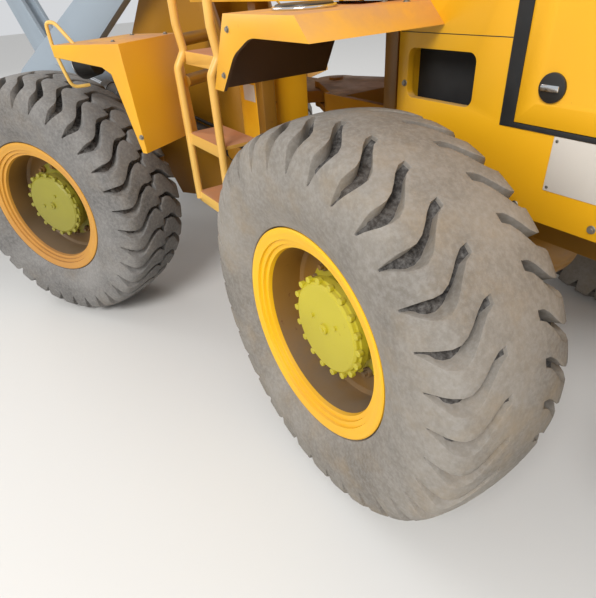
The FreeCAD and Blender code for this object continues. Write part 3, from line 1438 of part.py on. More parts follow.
def cylinders():
    """Lift, tilt and steering cylinders."""
    arm_cylinder(("lift_barrels", "lift_rods"), LIFT_BASE, LIFT_EYE, "lift_side",
                 ("lift_radius", "lift_rod_radius", "lift_barrel", "lift_boss", "lift_eye_half", "lift_pin"),
                 "lift_rod")
    arm_cylinder(("tilt_barrel", "tilt_rod"), TILT_BASE, CRANK_TOP, None,
                 ("tilt_radius", "tilt_rod_radius", "tilt_barrel", "tilt_radius * 0.85", "eye_half", "link_pin"),
                 "tilt_rod")
    turn = math.radians(size("steer_angle"))
    for side, sign in (("left", 1), ("right", -1)):
        reach, across = size("steer_eye_reach"), sign * size("steer_eye_side")
        eye = Vector(reach * math.cos(turn) - across * math.sin(turn),
                     reach * math.sin(turn) + across * math.cos(turn), size("steer_height"))
        base = Vector(-size("steer_base_back"), sign * size("steer_base_side"), size("steer_height"))
        length = str(round((eye - base).Length, 3))
        angle = math.degrees(math.atan2(eye.y - base.y, eye.x - base.x))
        shapes = cylinder("z", "steer_radius", "steer_rod_radius", "steer_barrel", "steer_eye_radius",
                          "steer_eye_half", "steer_pin", length, "steer_rod")
        for name, shape in zip((f"steer_barrel_{side}", f"steer_rod_{side}"), shapes):
            node(name, shape, "rear", Placement(base, Rotation(Vector(0, 0, 1), angle)))


def build():
    """Make every sub-part."""
    wheels()
    node("front_axle", axle("front_axle", ("front_axle - nose_length - member", "front_axle"),
                            "plate_half", "front_seat"), "front")
    node("rear_axle", axle("(-rear_axle)", ("-rear_axle", "-rear_axle + nose_length"),
                           "chassis_half", "chassis_floor"))
    rear_chassis()
    counterweight()
    engine_hood()
    hood_doors()
    radiator_grille()
    power_train()
    side_tanks()
    cab_shell()
    cab_glass()
    cab_doors()
    cab_roof()
    cab_inside()
    rear_fenders()
    ladders()
    roof_high_fittings()
    lamps()
    front_chassis()
    front_fenders()
    lift_arm()
    bell_crank()
    bucket_link()
    bucket()
    cutting_edge()
    cylinders()


def check():
    """Stop if any object of the document failed or any sub-part has no sound shape."""
    doc.recompute()
    for thing in doc.Objects:
        if "Invalid" in thing.State or "Error" in thing.State:
            raise RuntimeError(f"{thing.Name} ({thing.Label}) failed: {thing.State}")
    for name, (shape, _, _) in nodes.items():
        if shape.Shape.isNull() or not shape.Shape.isValid() or not shape.Shape.Solids:
            raise RuntimeError(f"{name} has no sound shape")


def place_and_write():
    """Turn the front frame, put the origin under the middle of the machine, and write the files."""
    steered = Placement(Vector(), Rotation(Vector(0, 0, 1), size("steer_angle")))
    whole = FreeCAD.BoundBox()
    for shape, frame, place in nodes.values():
        shape.Placement = (steered if frame == "front" else Placement()) * place
        whole.add(shape.Shape.optimalBoundingBox())
    origin = Vector(whole.Center.x, whole.Center.y, whole.ZMin)
    shift = Placement(-origin, Rotation())
    for name, (shape, _, _) in nodes.items():
        shape.Placement = shift * shape.Placement
        shape.Shape.exportStep(f"parts/{name}.step")
    print(len(nodes), "sub-parts; box", round(whole.XLength), round(whole.YLength), round(whole.ZLength))
    return origin


build()
check()
ORIGIN = place_and_write()
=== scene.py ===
"""Wheel loader: the looks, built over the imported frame."""
from __future__ import annotations

import json
import logging
import math
import random
from dataclasses import dataclass, field
from enum import Enum
from typing import Callable

import bmesh
import bpy
from mathutils import Matrix, Vector

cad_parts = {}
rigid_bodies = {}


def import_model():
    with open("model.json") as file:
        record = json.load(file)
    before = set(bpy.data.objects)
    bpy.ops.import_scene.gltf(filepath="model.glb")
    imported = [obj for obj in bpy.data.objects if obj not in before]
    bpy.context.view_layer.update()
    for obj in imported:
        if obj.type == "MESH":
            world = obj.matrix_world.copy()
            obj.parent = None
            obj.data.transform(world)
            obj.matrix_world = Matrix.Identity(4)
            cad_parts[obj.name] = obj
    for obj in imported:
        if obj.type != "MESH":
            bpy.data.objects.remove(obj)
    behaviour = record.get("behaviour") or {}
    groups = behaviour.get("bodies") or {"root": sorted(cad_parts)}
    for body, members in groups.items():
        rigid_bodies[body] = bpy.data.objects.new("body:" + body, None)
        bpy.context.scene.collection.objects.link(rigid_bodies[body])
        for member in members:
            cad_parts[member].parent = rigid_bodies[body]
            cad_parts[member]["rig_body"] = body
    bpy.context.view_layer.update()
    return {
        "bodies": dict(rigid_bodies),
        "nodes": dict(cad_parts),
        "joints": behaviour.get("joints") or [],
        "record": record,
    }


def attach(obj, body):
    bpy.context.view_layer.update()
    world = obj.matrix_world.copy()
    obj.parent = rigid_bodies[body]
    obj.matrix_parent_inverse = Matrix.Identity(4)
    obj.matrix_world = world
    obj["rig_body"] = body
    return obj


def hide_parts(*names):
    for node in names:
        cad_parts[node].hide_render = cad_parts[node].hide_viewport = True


LOG = logging.getLogger("wheel_loader")
PIVOT_SHIFT = Vector((-0.422041, -0.964905, 0.0))
STEER_TURN = math.radians(32.0)
REAR = Matrix.Translation(PIVOT_SHIFT)
FRONT = REAR @ Matrix.Rotation(STEER_TURN, 4, "Z")
Pick = Callable[[Vector, Vector], bool]


# Colours and shader nodes

def colour(hex_value: str, alpha: float = 1.0) -> tuple[float, float, float, float]:
    """Turn an sRGB hex value into linear colour.

    Args:
        hex_value: Six hex digits.
        alpha: Opacity.

    Returns:
        Linear red, green, blue and alpha.
    """
    channels = [int(hex_value[i:i + 2], 16) / 255 for i in (0, 2, 4)]
    linear = [c / 12.92 if c <= 0.04045 else ((c + 0.055) / 1.055) ** 2.4 for c in channels]
    return (linear[0], linear[1], linear[2], alpha)


class ShaderBench:
    """One material's node tree, with a function that adds a node."""

    def __init__(self, name: str) -> None:
        """Start an empty material with an output and a principled shader."""
        self.material = bpy.data.materials.new(name)
        self.material.use_nodes = True
        self.tree = self.material.node_tree
        self.tree.nodes.clear()
        self.output = self.tree.nodes.new("ShaderNodeOutputMaterial")
        self.shader = self.tree.nodes.new("ShaderNodeBsdfPrincipled")
        self.tree.links.new(self.shader.outputs[0], self.output.inputs[0])

    def add(self, kind: str, settings: dict | None = None, inputs: dict | None = None) -> bpy.types.Node:
        """Add a node with its settings and its links.

        Args:
            kind: Node type after ShaderNode.
            settings: Attributes to set on the node.
            inputs: Input name or number to a value or to an output socket.

        Returns:
            The new node.
        """
        made = self.tree.nodes.new("ShaderNode" + kind)
        for key, value in (settings or {}).items():
            setattr(made, key, value)
        for key, value in (inputs or {}).items():
            socket = made.inputs[key]
            if isinstance(value, bpy.types.NodeSocket):
                self.tree.links.new(value, socket)
            else:
                socket.default_value = value
        return made

    def feed(self, name: str, value: object) -> None:
        """Give one input of the principled shader a value or a link."""
        socket = self.shader.inputs[name]
        if isinstance(value, bpy.types.NodeSocket):
            self.tree.links.new(value, socket)
        else:
            socket.default_value = value

    def place(self) -> bpy.types.NodeSocket:
        """Object coordinates, in metres of the row's frame."""
        return self.add("TexCoord").outputs["Object"]

    def noise(self, size_mm: float, detail: float = 4.0, rough: float = 0.55) -> bpy.types.NodeSocket:
        """Noise whose patches are about size_mm across.

        Args:
            size_mm: Width of one patch.
            detail: Octaves.
            rough: Strength of the finer octaves.

        Returns:
            The noise factor.
        """
        made = self.add("TexNoise", inputs={"Vector": self.place(), "Scale": 1000.0 / size_mm,
                                            "Detail": detail, "Roughness": rough})
        return made.outputs["Fac"]

    def ramp(self, value: bpy.types.NodeSocket, low: float, high: float) -> bpy.types.NodeSocket:
        """Stretch a value so that low becomes 0 and high becomes 1.

        Args:
            value: The value to stretch.
            low: What becomes 0.
            high: What becomes 1.

        Returns:
            The clamped result.
        """
        made = self.add("MapRange", {"clamp": True, "interpolation_type": "SMOOTHSTEP"},
                        {"Value": value, "From Min": low, "From Max": high})
        return made.outputs["Result"]

    def sum(self, kind: str, first: object, second: object) -> bpy.types.NodeSocket:
        """Join two values by a Math operation, clamped from 0 to 1."""
        return self.add("Math", {"operation": kind, "use_clamp": True}, {0: first, 1: second}).outputs[0]

    def mix(self, amount: object, first: object, second: object) -> bpy.types.NodeSocket:
        """Mix two colours by an amount."""
        made = self.add("Mix", {"data_type": "RGBA", "clamp_factor": True},
                        {"Factor": amount, 6: first, 7: second})
        return made.outputs[2]

    def upward(self) -> bpy.types.NodeSocket:
        """How far a surface faces up, from 0 to 1."""
        normal = self.add("NewGeometry").outputs["Normal"]
        return self.ramp(self.add("SeparateXYZ", inputs={0: normal}).outputs["Z"], 0.35, 0.95)

    def height(self) -> bpy.types.NodeSocket:
        """Height above the ground in metres."""
        return self.add("SeparateXYZ", inputs={0: self.place()}).outputs["Z"]

    def bump(self, value: bpy.types.NodeSocket, depth_mm: float) -> None:
        """Raise the surface by a value times a depth in millimetres."""
        made = self.add("Bump", inputs={"Height": value, "Distance": depth_mm / 1000, "Strength": 0.6})
        self.feed("Normal", made.outputs[0])


@dataclass(frozen=True)
class WeatheredPaint:
    """Machine enamel on steel: a low gloss film with chips, rust specks and settled dust.

    The film hides the metal, so only chips and dust change its colour.
    """

    name: str
    body: str
    worn: str
    dust: str = "A08A6E"
    rust: str = "6B3D20"
    dust_amount: float = 0.6
    rust_amount: float = 0.35
    grime_top: float = 0.9
    roughness: float = 0.42

    def material(self) -> bpy.types.Material:
        """Build the node material."""
        bench = ShaderBench(self.name)
        fade = bench.ramp(bench.noise(900, 3), 0.35, 0.7)
        paint = bench.mix(fade, colour(self.body), colour(self.worn))
        specks = bench.ramp(bench.noise(34, 6, 0.7), 0.66 - 0.05 * self.rust_amount, 0.74)
        patches = bench.ramp(bench.noise(260, 5), 0.5, 0.75)
        rust = bench.sum("MULTIPLY", bench.sum("MULTIPLY", specks, patches), self.rust_amount * 2.4)
        coat = bench.mix(rust, paint, colour(self.rust))
        settled = bench.ramp(bench.noise(150, 5, 0.62), 0.25, 0.8)
        top = bench.sum("MULTIPLY", bench.upward(), self.dust_amount)
        low = bench.sum("MULTIPLY", bench.ramp(bench.height(), self.grime_top, 0.1), self.dust_amount * 0.8)
        grime = bench.sum("MULTIPLY", bench.sum("ADD", top, low), bench.sum("ADD", settled, 0.35))
        bench.feed("Base Color", bench.mix(grime, coat, colour(self.dust)))
        rough = bench.add("MapRange", inputs={"Value": bench.sum("ADD", grime, rust),
                                              "To Min": self.roughness, "To Max": 0.92})
        bench.feed("Roughness", rough.outputs["Result"])
        bench.bump(bench.sum("ADD", bench.sum("MULTIPLY", bench.noise(5, 3), 0.3), rust), 0.6)
        return bench.material


@dataclass(frozen=True)
class TyreRubber:
    """Natural rubber with carbon black, dried and grey with ground-in dust."""

    name: str
    dark: str = "6A645C"
    pale: str = "918A80"
    earth: str = "96805F"
    earth_amount: float = 0.45

    def material(self) -> bpy.types.Material:
        """Build the node material."""
        bench = ShaderBench(self.name)
        cloudy = bench.ramp(bench.noise(320, 6, 0.6), 0.2, 0.8)
        base = bench.mix(cloudy, colour(self.dark), colour(self.pale))
        fine = bench.ramp(bench.noise(14, 5, 0.7), 0.35, 0.7)
        base = bench.mix(bench.sum("MULTIPLY", fine, 0.3), base, colour("A8A49F"))
        mud = bench.ramp(bench.noise(190, 7, 0.66), 0.45, 0.8)
        base = bench.mix(bench.sum("MULTIPLY", mud, self.earth_amount), base, colour(self.earth))
        bench.feed("Base Color", base)
        bench.feed("Roughness", 0.88)
        bench.feed("Specular IOR Level", 0.3)
        bench.bump(bench.sum("ADD", bench.noise(9, 6, 0.7), mud), 1.4)
        return bench.material


@dataclass(frozen=True)
class BareMetal:
    """Steel or iron without paint: rolled, cast or ground, with the marks of its making."""

    name: str
    metal: str
    stain: str
    roughness: float = 0.4
    stained: float = 0.4
    grain_mm: float = 4.0

    def material(self) -> bpy.types.Material:
        """Build the node material."""
        bench = ShaderBench(self.name)
        spots = bench.ramp(bench.noise(60, 6, 0.68), 0.4, 0.7)
        stained = bench.sum("MULTIPLY", spots, self.stained)
        bench.feed("Base Color", bench.mix(stained, colour(self.metal), colour(self.stain)))
        metallic = bench.add("MapRange", inputs={"Value": stained, "To Min": 1.0, "To Max": 0.25})
        bench.feed("Metallic", metallic.outputs["Result"])
        rough = bench.add("MapRange", inputs={"Value": stained, "To Min": self.roughness, "To Max": 0.9})
        bench.feed("Roughness", rough.outputs["Result"])
        bench.bump(bench.noise(self.grain_mm, 4), 0.25)
        return bench.material


@dataclass(frozen=True)
class CabGlass:
    """Flat toughened glass, IOR 1.52, with a film of dust."""

    name: str = "toughened_glass"

    def material(self) -> bpy.types.Material:
        """Build the node material."""
        bench = ShaderBench(self.name)
        film = bench.ramp(bench.noise(240, 5), 0.35, 0.8)
        bench.feed("Base Color", bench.mix(bench.sum("MULTIPLY", film, 0.4), colour("DCE8E4"), colour("B9AE9C")))
        bench.feed("Roughness", bench.add("MapRange", inputs={"Value": film, "To Min": 0.03,
                                                              "To Max": 0.3}).outputs["Result"])
        bench.feed("IOR", 1.52)
        bench.feed("Transmission Weight", 0.93)
        return bench.material


@dataclass(frozen=True)
class Moulding:
    """Moulded plastic or vinyl: an even dye under a fine pebbled skin."""

    name: str
    dye: str
    roughness: float = 0.5
    pebble_mm: float = 2.5
    depth_mm: float = 0.2
    coat: float = 0.0

    def material(self) -> bpy.types.Material:
        """Build the node material."""
        bench = ShaderBench(self.name)
        wipe = bench.ramp(bench.noise(120, 4), 0.3, 0.8)
        pale = [min(1.0, c * 1.8 + 0.02) for c in colour(self.dye)[:3]] + [1.0]
        bench.feed("Base Color", bench.mix(bench.sum("MULTIPLY", wipe, 0.5), colour(self.dye), pale))
        bench.feed("Roughness", self.roughness)
        bench.feed("Coat Weight", self.coat)
        grain = bench.add("TexVoronoi", inputs={"Vector": bench.place(), "Scale": 1000 / self.pebble_mm})
        bench.bump(grain.outputs["Distance"], self.depth_mm)
        return bench.material


class Finish(Enum):
    """Every finish on the machine."""

    BODY = WeatheredPaint("amber_enamel", "EEB216", "E2A416", rust_amount=0.45)
    TOP = WeatheredPaint("dusty_amber_enamel", "E9AC18", "D69632", dust="B98A60", dust_amount=0.95, rust_amount=0.8)
    # Painted shade with mud: the fenders' undersides get a dark brown that stands for the shade under them.
    UNDER = WeatheredPaint("shaded_muddy_enamel", "54361A", "43301F", dust="4A3A2C", dust_amount=0.6, rust_amount=1.0)
    RIM = WeatheredPaint("rim_enamel", "EFB70C", "E0A510", dust_amount=0.15, grime_top=0.5, rust_amount=0.25)
    # Painted shade with dust: the front rims get a darker, browner copy of the rim's yellow.
    DUSTY_RIM = WeatheredPaint("shaded_dusty_rim_enamel", "D59A2C", "C2893C", dust="A5763F", dust_amount=0.6, rust_amount=0.9)
    HUB = WeatheredPaint("hub_enamel", "C2B426", "A89B24", dust_amount=0.15, grime_top=0.3, rust_amount=0.4)
    # Painted shade with dust: the front hubs get a darker olive copy of the hub's yellow.
    DUSTY_HUB = WeatheredPaint("shaded_dusty_hub_enamel", "979024", "86802A", dust="7A6A3A", dust_amount=0.4, rust_amount=0.8)
    # Painted shade with rust and dirt: a darker copy of the rim's yellow for the recessed well, disc and wheel nuts.
    WELL = WeatheredPaint("shaded_rim_well_enamel", "946718", "5E4A30", dust="6E5A42", dust_amount=0.7, rust_amount=1.2)
    # Painted light: ladders, hand rails and fender loops get a paler copy of the yellow, standing for sunlight falling
    # on them, with dust and rust on it.
    RAIL = WeatheredPaint("sunlit_rail_enamel", "E8BC60", "DDA850", dust_amount=0.3, rust_amount=0.4)
    STEP = WeatheredPaint("trodden_enamel", "D08E4C", "C07E50", dust="BE8A68", dust_amount=0.95, rust_amount=0.9)
    # Painted shade: the chassis and axles get a darker copy of the yellow, standing for the shade under the machine,
    # with dust and rust on it.
    FRAME = WeatheredPaint("shaded_frame_enamel", "A87412", "80591A", dust="54463A", dust_amount=0.7, rust_amount=0.8)
    ARM = WeatheredPaint("arm_enamel", "98A3AC", "8B969F", dust="8C8478", dust_amount=0.4, rust_amount=0.5)
    BUCKET = WeatheredPaint("bucket_enamel", "6F6E68", "5C5348", dust="7A6A56", dust_amount=0.8, rust_amount=1.2)
    WEIGHT = WeatheredPaint("weight_enamel", "3E3C39", "4A443C", dust="6E6252", dust_amount=0.6, rust_amount=0.4)
    BLACK = WeatheredPaint("black_enamel", "1B1A19", "2A2724", dust="5B5146", dust_amount=0.5, rust_amount=0.3)
    PLATE = WeatheredPaint("bare_plate", "DAD2C8", "C8C0B4", dust="8C8880", dust_amount=0.3, rust_amount=0.3)
    WORN_RUBBER = TyreRubber("worn_tyre_rubber")
    RUBBER = TyreRubber("tyre_rubber", dark="585654", pale="85827E", earth_amount=0.15)
    # Painted shade with earth: the groove floors get a near-black rubber that stands for the shade down in the
    # grooves.
    GROOVE_RUBBER = TyreRubber("groove_shade_rubber", dark="242221", pale="3A3633", earth="54473B", earth_amount=0.6)
    SEAL = Moulding("seal_rubber", "161616", roughness=0.75)
    CAST = BareMetal("cast_iron", "4A4A4A", "2B2522", roughness=0.6, stained=0.8, grain_mm=3)
    STEEL = BareMetal("scoured_steel", "A29A90", "5E4533", roughness=0.38, stained=0.7)
    BOLT = BareMetal("zinc_bolt", "9C9A92", "6B5233", roughness=0.45, stained=0.6)
    CHROME = BareMetal("hard_chrome", "D8DADC", "8A8680", roughness=0.12, stained=0.15, grain_mm=2)
    GLASS = CabGlass()
    VINYL = Moulding("seat_vinyl", "232325", roughness=0.55, pebble_mm=3.2, depth_mm=0.35)
    PLASTIC = Moulding("black_polypropylene", "1C1C1D", roughness=0.6)
    LENS = Moulding("lamp_lens", "E4E0D4", roughness=0.12, pebble_mm=6, depth_mm=0.6, coat=0.8)
    RED_LENS = Moulding("red_lens", "A3160F", roughness=0.15, pebble_mm=6, depth_mm=0.6, coat=0.8)


class Paintbox:
    """Makes each finish once and puts it on pieces."""

    def __init__(self) -> None:
        """Start with nothing mixed."""
        self.mixed: dict[Finish, bpy.types.Material] = {}

    def get(self, finish: Finish) -> bpy.types.Material:
        """The material of a finish, mixed on first use."""
        if finish not in self.mixed:
            self.mixed[finish] = finish.value.material()
        return self.mixed[finish]

    def coat(self, piece: bpy.types.Object, finish: Finish) -> None:
        """Give a whole piece one finish."""
        piece.data.materials.clear()
        piece.data.materials.append(self.get(finish))


# Modelling helpers, each one step of the work as done by hand

def rest_hands() -> None:
    """Leave edit mode and deselect everything."""
    if bpy.context.mode != "OBJECT":
        bpy.ops.object.mode_set(mode="OBJECT")
    bpy.ops.object.select_all(action="DESELECT")


def hold(piece: bpy.types.Object) -> None:
    """Select one piece alone and make it active."""
    rest_hands()
    piece.select_set(True)
    bpy.context.view_layer.objects.active = piece


def settle(piece: bpy.types.Object, name: str, place: Matrix | None = None) -> bpy.types.Object:
    """Name a piece and move its place into its mesh.

    Args:
        piece: The piece.
        name: Its name.
        place: Where it goes, from the coordinates that it was made in.

    Returns:
        The same piece.
    """
    hold(piece)
    bpy.ops.object.transform_apply(location=True, rotation=True, scale=True)
    if place is not None:
        piece.data.transform(place)
    piece.name = name
    piece.data.name = name
    return piece


def block(low: tuple[float, float, float], high: tuple[float, float, float]) -> bpy.types.Object:
    """Add a cube primitive between two corners."""
    rest_hands()
    size = Vector(high) - Vector(low)
    middle = (Vector(high) + Vector(low)) / 2
    bpy.ops.mesh.primitive_cube_add(size=1.0, location=middle)
    piece = bpy.context.active_object
    piece.scale = size
    bpy.ops.object.transform_apply(location=True, rotation=True, scale=True)
    return piece


def drum(start: Vector, end: Vector, radius: float, sides: int = 32) -> bpy.types.Object:
    """Add a cylinder primitive from one point to another."""
    rest_hands()
    run = Vector(end) - Vector(start)
    bpy.ops.mesh.primitive_cylinder_add(vertices=sides, radius=radius, depth=run.length,
                                        location=(Vector(start) + Vector(end)) / 2,
                                        rotation=run.to_track_quat("Z", "Y").to_euler())
    piece = bpy.context.active_object
    bpy.ops.object.transform_apply(location=True, rotation=True, scale=True)
    return piece


def pick_faces(piece: bpy.types.Object, test: Pick) -> None:
    """Enter edit mode with only the faces selected whose centre and normal pass a test."""
    hold(piece)
    bpy.ops.object.mode_set(mode="EDIT")
    bpy.ops.mesh.select_mode(type="FACE")
    bpy.ops.mesh.select_all(action="DESELECT")
    mesh = bmesh.from_edit_mesh(piece.data)
    for face in mesh.faces:
        face.select_set(bool(test(face.calc_center_median(), face.normal)))
    bmesh.update_edit_mesh(piece.data)


def done() -> None:
    """Leave edit mode."""
    bpy.ops.object.mode_set(mode="OBJECT")


def soften(piece: bpy.types.Object, width: float, segments: int = 2, angle: float = 35.0) -> None:
    """Round the sharp edges of a piece and shade it smooth by angle."""
    hold(piece)
    bevel = piece.modifiers.new("Rounding", "BEVEL")
    bevel.width = width
    bevel.segments = segments
    bevel.limit_method = "ANGLE"
    bevel.angle_limit = math.radians(angle)
    bevel.harden_normals = False
    bpy.ops.object.modifier_apply(modifier=bevel.name)
    bpy.ops.object.shade_smooth_by_angle(angle=math.radians(40))


def joined(pieces: list[bpy.types.Object]) -> bpy.types.Object:
    """Join several pieces into the first."""
    rest_hands()
    for piece in pieces:
        piece.select_set(True)
    bpy.context.view_layer.objects.active = pieces[0]
    if len(pieces) > 1:
        bpy.ops.object.join()
    return bpy.context.active_object


def tidy_mesh(piece: bpy.types.Object, gap: float = 0.00005) -> None:
    """Merge doubles and turn the faces outwards."""
    hold(piece)
    bpy.ops.object.mode_set(mode="EDIT")
    bpy.ops.mesh.select_all(action="SELECT")
    bpy.ops.mesh.remove_doubles(threshold=gap)
    bpy.ops.mesh.normals_make_consistent(inside=False)
    done()


def spun(section: list[tuple[float, float]], steps: int) -> bpy.types.Object:
    """Spin a closed section about the Y axis.

    Args:
        section: Corners as (place along Y, radius), in order round the section.
        steps: Number of steps in the full turn.

    Returns:
        The closed ring.
    """
    rest_hands()
    bpy.ops.mesh.primitive_circle_add(vertices=len(section), radius=1.0)
    piece = bpy.context.active_object
    for vertex, (along, radius) in zip(piece.data.vertices, section):
        vertex.co = (radius, along, 0.0)
    bpy.ops.object.mode_set(mode="EDIT")
    bpy.ops.mesh.select_all(action="SELECT")
    bpy.ops.mesh.spin(steps=steps, angle=2 * math.pi, center=(0, 0, 0), axis=(0, 1, 0))
    bpy.ops.mesh.select_all(action="SELECT")
    bpy.ops.mesh.remove_doubles(threshold=0.00002)
    bpy.ops.mesh.normals_make_consistent(inside=False)
    done()
    return piece


def copied(piece: bpy.types.Object, turn: Matrix) -> bpy.types.Object:
    """Copy a piece with its own mesh, turned or moved by a matrix."""
    twin = piece.copy()
    twin.data = piece.data.copy()
    twin.data.transform(turn)
    bpy.context.scene.collection.objects.link(twin)
    return twin


def bent_pipe(points: list[Vector], radius: float, bend: float = 0.04, sides: int = 8) -> bpy.types.Object:
    """A pipe along straight runs with rounded bends, as a mesh.

    Args:
        points: Corners of the run.
        radius: Outer radius of the pipe.
        bend: Radius of the bends.
        sides: Corners round the pipe, over four.

    Returns:
        The pipe.
    """
    smooth: list[Vector] = [points[0]]
    for before, corner, after in zip(points, points[1:], points[2:]):
        into = (corner - before).normalized()
        out = (after - corner).normalized()
        reach = min(bend, (corner - before).length / 2.2, (after - corner).length / 2.2)
        start, end = corner - into * reach, corner + out * reach
        for step in range(7):
            t = step / 6
            smooth.append(start * (1 - t) ** 2 + corner * (2 * t * (1 - t)) + end * t * t)
    smooth.append(points[-1])
    curve = bpy.data.curves.new("run", "CURVE")
    curve.dimensions = "3D"
    spline = curve.splines.new("POLY")
    spline.points.add(len(smooth) - 1)
    for point, place in zip(spline.points, smooth):
        point.co = (*place, 1.0)
    curve.bevel_depth = radius
    curve.bevel_resolution = max(1, sides // 4)
    curve.use_fill_caps = True
    line = bpy.data.objects.new("run", curve)
    bpy.context.scene.collection.objects.link(line)
    hold(line)
    bpy.ops.object.convert(target="MESH")
    piece = bpy.context.active_object
    bpy.ops.object.shade_smooth_by_angle(angle=math.radians(50))
    return piece


@dataclass
class Shop:
    """What every sub-assembly needs: the paint and the frame."""

    paints: Paintbox
    frame: dict

    def fit(self, piece: bpy.types.Object, name: str, body: str, finish: Finish, slot: str,
            place: Matrix | None = None, nodes: tuple[str, ...] = ()) -> bpy.types.Object:
        """Finish a piece: name, place, paint and body.

        Args:
            piece: The piece.
            name: Its name.
            body: The CAD body that it rides on.
            finish: Its finish.
            slot: The record's slot that it belongs to; not used.
            place: Where it goes, from the coordinates that it was made in.
            nodes: CAD nodes that it stands for.

        Returns:
            The piece.
        """
        settle(piece, name, place)
        self.paints.coat(piece, finish)
        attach(piece, body)
        if nodes:
            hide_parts(*nodes)
        LOG.info("%s: %d faces on %s", name, len(piece.data.polygons), body)
        return piece

    def body_of(self, node: str) -> str:
        """Name of the body that a CAD node belongs to."""
        return self.frame["nodes"][node]["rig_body"]


# Wheels

@dataclass
class GrooveStyle:
    """How far the grooves of a tread are worn."""

    depth: float
    reach: float
    width: float
    inner_width: float
    inner_depth: float


